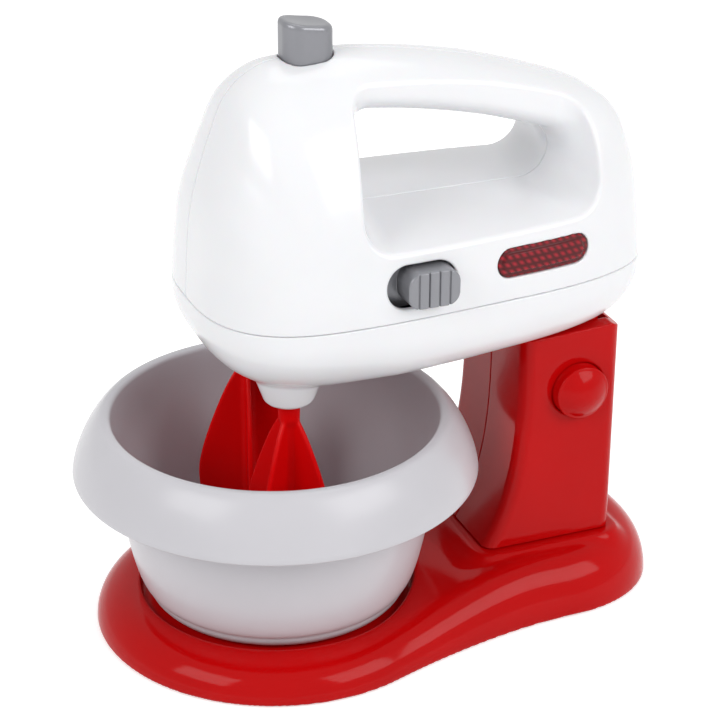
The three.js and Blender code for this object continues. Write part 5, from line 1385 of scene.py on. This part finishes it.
# Body, joint, axis, whether the far end stays, and how far the button goes in
SPRINGS = {
    "eject_spring": ("head", "eject_press", 2, False, 5.0),
    "release_spring": ("stand", "release_press", 1, True, 4.0),
}
COIL_EDGE = 0.02


def spring(node):
    """A coil in steel, polished and given a mesh of its own."""
    body, joint, axis, far_end_stays, travel = SPRINGS[node]
    piece = polished(node, body, steel(), "steel", COIL_EDGE)
    corners = np.array([piece.matrix_world @ Vector(corner) for corner in piece.bound_box])
    low = corners.min(axis=0)
    high = corners.max(axis=0)
    anchor = (low + high) / 2
    anchor[axis] = high[axis] if far_end_stays else low[axis]
    along = np.zeros(3)
    along[axis] = 1
    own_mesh(piece)
    return piece


# Settings

class ToyMixerHeadSettings(bpy.types.PropertyGroup):
    """Sizes of the mixer's head, in millimetres"""

    detail: FloatProperty(name="Mesh step", description="Distance between points on the mouldings",
                          default=0.8, min=0.4, max=3)
    opening_rim: FloatProperty(name="Opening rim", description="Rounding round the hand opening", default=1.3,
                               min=0.3, max=5)
    seam: FloatProperty(name="Seam rounding", description="Rounding along the seams", default=0.35, min=0.1,
                        max=1)
    slot_edge: FloatProperty(name="Slot rounding", description="Rounding round the switch's slot",
                             default=0.6, min=0.1, max=1)
    nozzle_root: FloatProperty(name="Nozzle root", description="Fillet between the nozzles and the tray",
                               default=1.2, min=0.2, max=3)


class ToyMixerStandSettings(bpy.types.PropertyGroup):
    """Sizes of the stand in millimetres, and of the screws as Blender lengths"""

    detail: FloatProperty(name="Mesh step", description="Distance between points on the mouldings",
                          default=0.8, min=0.4, max=3)
    seam: FloatProperty(name="Seam rounding", description="Rounding along the seams", default=0.35, min=0.1,
                        max=1)
    pedestal_edge: FloatProperty(name="Pedestal edge", description="Rounding of the pedestal's top",
                                 default=0.7, min=0.2, max=4)
    pedestal_root: FloatProperty(name="Pedestal root", description="Fillet between the pedestal and the rim",
                                 default=1.2, min=0.5, max=8)
    well_edge: FloatProperty(name="Well edge", description="Rounding of the well's edge", default=1.0,
                             min=0.2, max=3)
    screw_head: FloatProperty(name="Screw head", description="Radius of the screws' heads", default=0.0027,
                              subtype="DISTANCE", unit="LENGTH")
    screw_shank: FloatProperty(name="Screw shank", description="Radius of the screws' shanks",
                               default=0.0008, subtype="DISTANCE", unit="LENGTH")
    recess_length: FloatProperty(name="Recess length", description="Length of the cross in a screw's head",
                                 default=0.0032, subtype="DISTANCE", unit="LENGTH")
    recess_width: FloatProperty(name="Recess width", description="Width of the cross in a screw's head",
                                default=0.0007, subtype="DISTANCE", unit="LENGTH")


class ToyMixerBowlSettings(bpy.types.PropertyGroup):
    """Sizes of the bowl"""

    segments: IntProperty(name="Segments", description="Points round the bowl", default=224, min=48, max=512)


class ToyMixerFinishSettings(bpy.types.PropertyGroup):
    """Colours of the plastics"""

    white: FloatVectorProperty(name="White", description="Mixer's housing", subtype="COLOR", size=3, min=0,
                               max=1, default=(0.85, 0.85, 0.87))
    red: FloatVectorProperty(name="Red", description="Stand and beaters", subtype="COLOR", size=3, min=0,
                             max=1, default=(0.5, 0.0015, 0.002))
    bowl: FloatVectorProperty(name="Bowl", description="Bowl", subtype="COLOR", size=3, min=0, max=1,
                              default=(0.59, 0.58, 0.612))
    control: FloatVectorProperty(name="Controls", description="Knob and eject button", subtype="COLOR",
                                 size=3, min=0, max=1, default=(0.24, 0.242, 0.262))
    lens: FloatVectorProperty(name="Lens", description="Power lens", subtype="COLOR", size=3, min=0, max=1,
                              default=(0.2, 0.004, 0.01))


class ToyMixerStageSettings(bpy.types.PropertyGroup):
    """Camera and lamps"""

    azimuth: FloatProperty(name="Azimuth", description="Turn of the view round the toy", default=-22.0)
    elevation: FloatProperty(name="Elevation", description="Height of the view", default=25.831)
    roll: FloatProperty(name="Roll", description="Tilt of the camera about its own axis", default=0.296)
    distance: FloatProperty(name="Distance", description="From the camera to its target", default=0.763,
                            unit="LENGTH")
    focal: FloatProperty(name="Focal length", description="On a 36 mm sensor", default=114.9)
    left: FloatProperty(name="Left softbox", description="Power of the lamp on the left", default=4.4)
    right: FloatProperty(name="Right softbox", description="Power of the lamp on the right", default=5.4)
    top: FloatProperty(name="Top softbox", description="Power of the lamp above", default=1.5)
    sky: FloatProperty(name="Sky", description="Strength of the even light", default=0.45)


# Operators

class TOYMIXER_OT_head(bpy.types.Operator):
    """Build the white housing halves and the tray"""

    bl_idname = "toymixer.head"
    bl_label = "Build the head"

    def execute(self, context):
        settings = context.scene.toy_mixer_head
        for side in SIDES:
            finish(housing_half(side, settings), "head", white_plastic(), "white_gloss",
                   "housing_" + hand(side))
        finish(tray(settings), "head", white_plastic(), "white_gloss", "housing_tray")
        polished("battery_door", "door", white_plastic(), "white_gloss")
        return {"FINISHED"}


class TOYMIXER_OT_controls(bpy.types.Operator):
    """Build the lens, the knob and the buttons"""

    bl_idname = "toymixer.controls"
    bl_label = "Build the controls"

    def execute(self, context):
        clear = lens_material("Red lens", colour_of("lens"))
        finish(power_lens(), "head", clear, "lens_red", "power_lens")
        finish(switch_knob(), "switch", control_plastic(), "control_grey", "switch_knob")
        finish(eject_button(), "eject", control_plastic(), "control_grey", "eject_button")
        finish(release_button(), "release", red_plastic(), "red_gloss", "release_button")
        return {"FINISHED"}


class TOYMIXER_OT_beaters(bpy.types.Operator):
    """Build the two leaf beaters"""

    bl_idname = "toymixer.beaters"
    bl_label = "Build the beaters"

    def execute(self, context):
        for side in SIDES:
            finish(beater(side), "beater_" + hand(side)[0], lit_beater_plastic(), "red_gloss",
                   "beater_" + hand(side))
        return {"FINISHED"}


class TOYMIXER_OT_stand(bpy.types.Operator):
    """Build the base and the column"""

    bl_idname = "toymixer.stand"
    bl_label = "Build the stand"

    def execute(self, context):
        settings = context.scene.toy_mixer_stand
        finish(base(settings), "stand", red_plastic(), "red_gloss", "base_shell")
        for side in SIDES:
            finish(column_half(side, settings), "stand", red_plastic(), "red_gloss", "column_" + hand(side))
        polished("base_plate", "stand", red_plastic(), "red_gloss")
        polished("tilt_cradle", "cradle", red_plastic(), "red_gloss")
        for number in range(1, 5):
            polished(f"foot_{number}", "stand", rubber(), "rubber")
        return {"FINISHED"}


class TOYMIXER_OT_bowl(bpy.types.Operator):
    """Build the bowl"""

    bl_idname = "toymixer.bowl"
    bl_label = "Build the bowl"

    def execute(self, context):
        finish(bowl(context.scene.toy_mixer_bowl), "bowl", bowl_plastic(), "bowl_grey", "bowl")
        return {"FINISHED"}


class TOYMIXER_OT_screws(bpy.types.Operator):
    """Set the cross-head screws"""

    bl_idname = "toymixer.screws"
    bl_label = "Set the screws"

    def execute(self, context):
        settings = context.scene.toy_mixer_stand
        for body, nodes in SCREWS.items():
            sizes = {}
            for node in nodes:
                place_of = screw_place(node)
                sizes.setdefault(round(place_of[2], 5), []).append((node, place_of))
            for height, found in sizes.items():
                piece = screws(body, height, [spot for _, spot in found], settings)
                finish(piece, body, steel(), "steel", *[node for node, _ in found])
        return {"FINISHED"}


class TOYMIXER_OT_works(bpy.types.Operator):
    """Give the drive, the cells and the other inner pieces their finishes"""

    bl_idname = "toymixer.works"
    bl_label = "Finish the inner pieces"

    def execute(self, context):
        for nodes in KEPT.values():
            for node, make in nodes.items():
                mesh = frame["nodes"][node].data
                mesh.materials.clear()
                mesh.materials.append(make())
        for node in SPRINGS:
            spring(node)
        return {"FINISHED"}


class TOYMIXER_OT_stage(bpy.types.Operator):
    """Set the floor, the lamps and the camera"""

    bl_idname = "toymixer.stage"
    bl_label = "Set the stage"

    def execute(self, context):
        settings = context.scene.toy_mixer_stage
        floor()
        world(settings)
        lamps(settings)
        camera(settings)
        context.scene.view_settings.view_transform = "Standard"
        return {"FINISHED"}


# Stage

# The camera's target is in millimetres about the bowl's axis
TARGET = (29.94, -0.32, 88.99)
SENSOR_WIDTH = 36

# The lamps' distance and target, and the floor's reach, are in metres in the model's frame
LAMP_DISTANCE = 1.1
LAMP_TARGET = (0, 0, 0.08)
FLOOR_REACH = 3.0

# Each softbox's azimuth and elevation in degrees, and its width and height in metres
SOFTBOXES = {
    "left": (-70, 34, 0.62, 0.5),
    "right": (34, 34, 0.7, 0.55),
    "top": (150, 70, 0.6, 0.5),
}


def direction(azimuth, elevation):
    """Unit vector at an azimuth and an elevation in degrees, where 0 and 0 point to the front."""
    a, e = math.radians(azimuth), math.radians(elevation)
    return Vector((math.sin(a) * math.cos(e), -math.cos(a) * math.cos(e), math.sin(e)))


def camera(settings):
    data = bpy.data.cameras.new("Camera")
    data.lens = settings.focal
    data.sensor_width = SENSOR_WIDTH
    data.sensor_fit = "HORIZONTAL"
    data.clip_start = 0.01
    eye = new_object("Camera", data)
    back = direction(settings.azimuth, settings.elevation)
    eye.location = Vector(place([TARGET])[0]) + back * settings.distance
    turn = back.to_track_quat("Z", "Y").to_matrix() @ Matrix.Rotation(math.radians(settings.roll), 3, "Z")
    eye.rotation_euler = turn.to_euler()
    bpy.context.scene.camera = eye


def area_lamp(name, azimuth, elevation, width, height, power):
    target = Vector(LAMP_TARGET)
    spot = target + direction(azimuth, elevation) * LAMP_DISTANCE
    data = bpy.data.lights.new(name, "AREA")
    data.shape = "RECTANGLE"
    data.size = width
    data.size_y = height
    data.energy = power
    lamp = new_object(name, data)
    lamp.location = spot
    lamp.rotation_euler = (spot - target).to_track_quat("Z", "Y").to_euler()


def lamps(settings):
    for side, (azimuth, elevation, width, height) in SOFTBOXES.items():
        area_lamp(side.capitalize() + " softbox", azimuth, elevation, width, height, getattr(settings, side))


def seen_ray(tree):
    """Whether a ray comes from the camera, or was mirrored or let through by the toy."""
    paths = tree.nodes.new("ShaderNodeLightPath")
    total = paths.outputs["Is Camera Ray"]
    for kind in ("Is Glossy Ray", "Is Transmission Ray"):
        most = tree.nodes.new("ShaderNodeMath")
        most.operation = "MAXIMUM"
        tree.links.new(total, most.inputs[0])
        tree.links.new(paths.outputs[kind], most.inputs[1])
        total = most.outputs["Value"]
    return total


def world(settings):
    made = bpy.data.worlds.new("Studio")
    made.use_nodes = True
    tree = made.node_tree
    tree.nodes.clear()
    out = tree.nodes.new("ShaderNodeOutputWorld")
    light = tree.nodes.new("ShaderNodeBackground")
    light.inputs["Color"].default_value = (1, 1, 1, 1)
    light.inputs["Strength"].default_value = settings.sky
    seen = tree.nodes.new("ShaderNodeBackground")
    seen.inputs["Color"].default_value = (1, 1, 1, 1)
    mix = tree.nodes.new("ShaderNodeMixShader")
    tree.links.new(seen_ray(tree), mix.inputs["Fac"])
    tree.links.new(light.outputs["Background"], mix.inputs[1])
    tree.links.new(seen.outputs["Background"], mix.inputs[2])
    tree.links.new(mix.outputs["Shader"], out.inputs["Surface"])
    bpy.context.scene.world = made


def floor():
    mesh = bpy.data.meshes.new("Floor")
    corners = [(x * FLOOR_REACH, y * FLOOR_REACH, 0) for x, y in ((-1, -1), (1, -1), (1, 1), (-1, 1))]
    mesh.from_pydata(corners, [], [(0, 1, 2, 3)])
    table = new_object("Floor", mesh)
    made = bpy.data.materials.new("Pale floor")
    made.use_nodes = True
    tree = made.node_tree
    shader = tree.nodes["Principled BSDF"]
    shader.inputs["Base Color"].default_value = (0.9, 0.9, 0.9, 1)
    shader.inputs["Roughness"].default_value = 0.6
    out = tree.nodes["Material Output"]
    lit = tree.nodes.new("ShaderNodeEmission")
    lit.inputs["Strength"].default_value = 0.5
    both = tree.nodes.new("ShaderNodeAddShader")
    mix = tree.nodes.new("ShaderNodeMixShader")
    tree.links.new(shader.outputs["BSDF"], both.inputs[0])
    tree.links.new(lit.outputs["Emission"], both.inputs[1])
    tree.links.new(seen_ray(tree), mix.inputs["Fac"])
    tree.links.new(shader.outputs["BSDF"], mix.inputs[1])
    tree.links.new(both.outputs["Shader"], mix.inputs[2])
    tree.links.new(mix.outputs["Shader"], out.inputs["Surface"])
    mesh.materials.append(made)


# Add-on parts

GROUPS = {
    "toy_mixer_head": ToyMixerHeadSettings,
    "toy_mixer_stand": ToyMixerStandSettings,
    "toy_mixer_bowl": ToyMixerBowlSettings,
    "toy_mixer_finish": ToyMixerFinishSettings,
    "toy_mixer_stage": ToyMixerStageSettings,
}
OPERATORS = (
    TOYMIXER_OT_head, TOYMIXER_OT_controls, TOYMIXER_OT_beaters, TOYMIXER_OT_stand, TOYMIXER_OT_bowl,
    TOYMIXER_OT_screws, TOYMIXER_OT_works, TOYMIXER_OT_stage,
)


class VIEW3D_PT_toy_mixer(bpy.types.Panel):
    """Settings and build buttons of the toy stand mixer"""

    bl_label = "Toy Mixer"
    bl_space_type = "VIEW_3D"
    bl_region_type = "UI"
    bl_category = "Toy Mixer"

    def draw(self, context):
        layout = self.layout
        for name in GROUPS:
            settings = getattr(context.scene, name)
            box = layout.box()
            for prop in settings.bl_rna.properties:
                if prop.identifier not in ("rna_type", "name"):
                    box.prop(settings, prop.identifier)
        for operator in OPERATORS:
            layout.operator(operator.bl_idname)


def register():
    for name, group in GROUPS.items():
        bpy.utils.register_class(group)
        setattr(bpy.types.Scene, name, PointerProperty(type=group))
    for operator in OPERATORS:
        bpy.utils.register_class(operator)
    bpy.utils.register_class(VIEW3D_PT_toy_mixer)


def unregister():
    bpy.utils.unregister_class(VIEW3D_PT_toy_mixer)
    for operator in reversed(OPERATORS):
        bpy.utils.unregister_class(operator)
    for name, group in reversed(GROUPS.items()):
        delattr(bpy.types.Scene, name)
        bpy.utils.unregister_class(group)


def main():
    register()
    for operator in OPERATORS:
        area, name = operator.bl_idname.split(".")
        getattr(getattr(bpy.ops, area), name)()


if __name__ == "__main__":
    main()
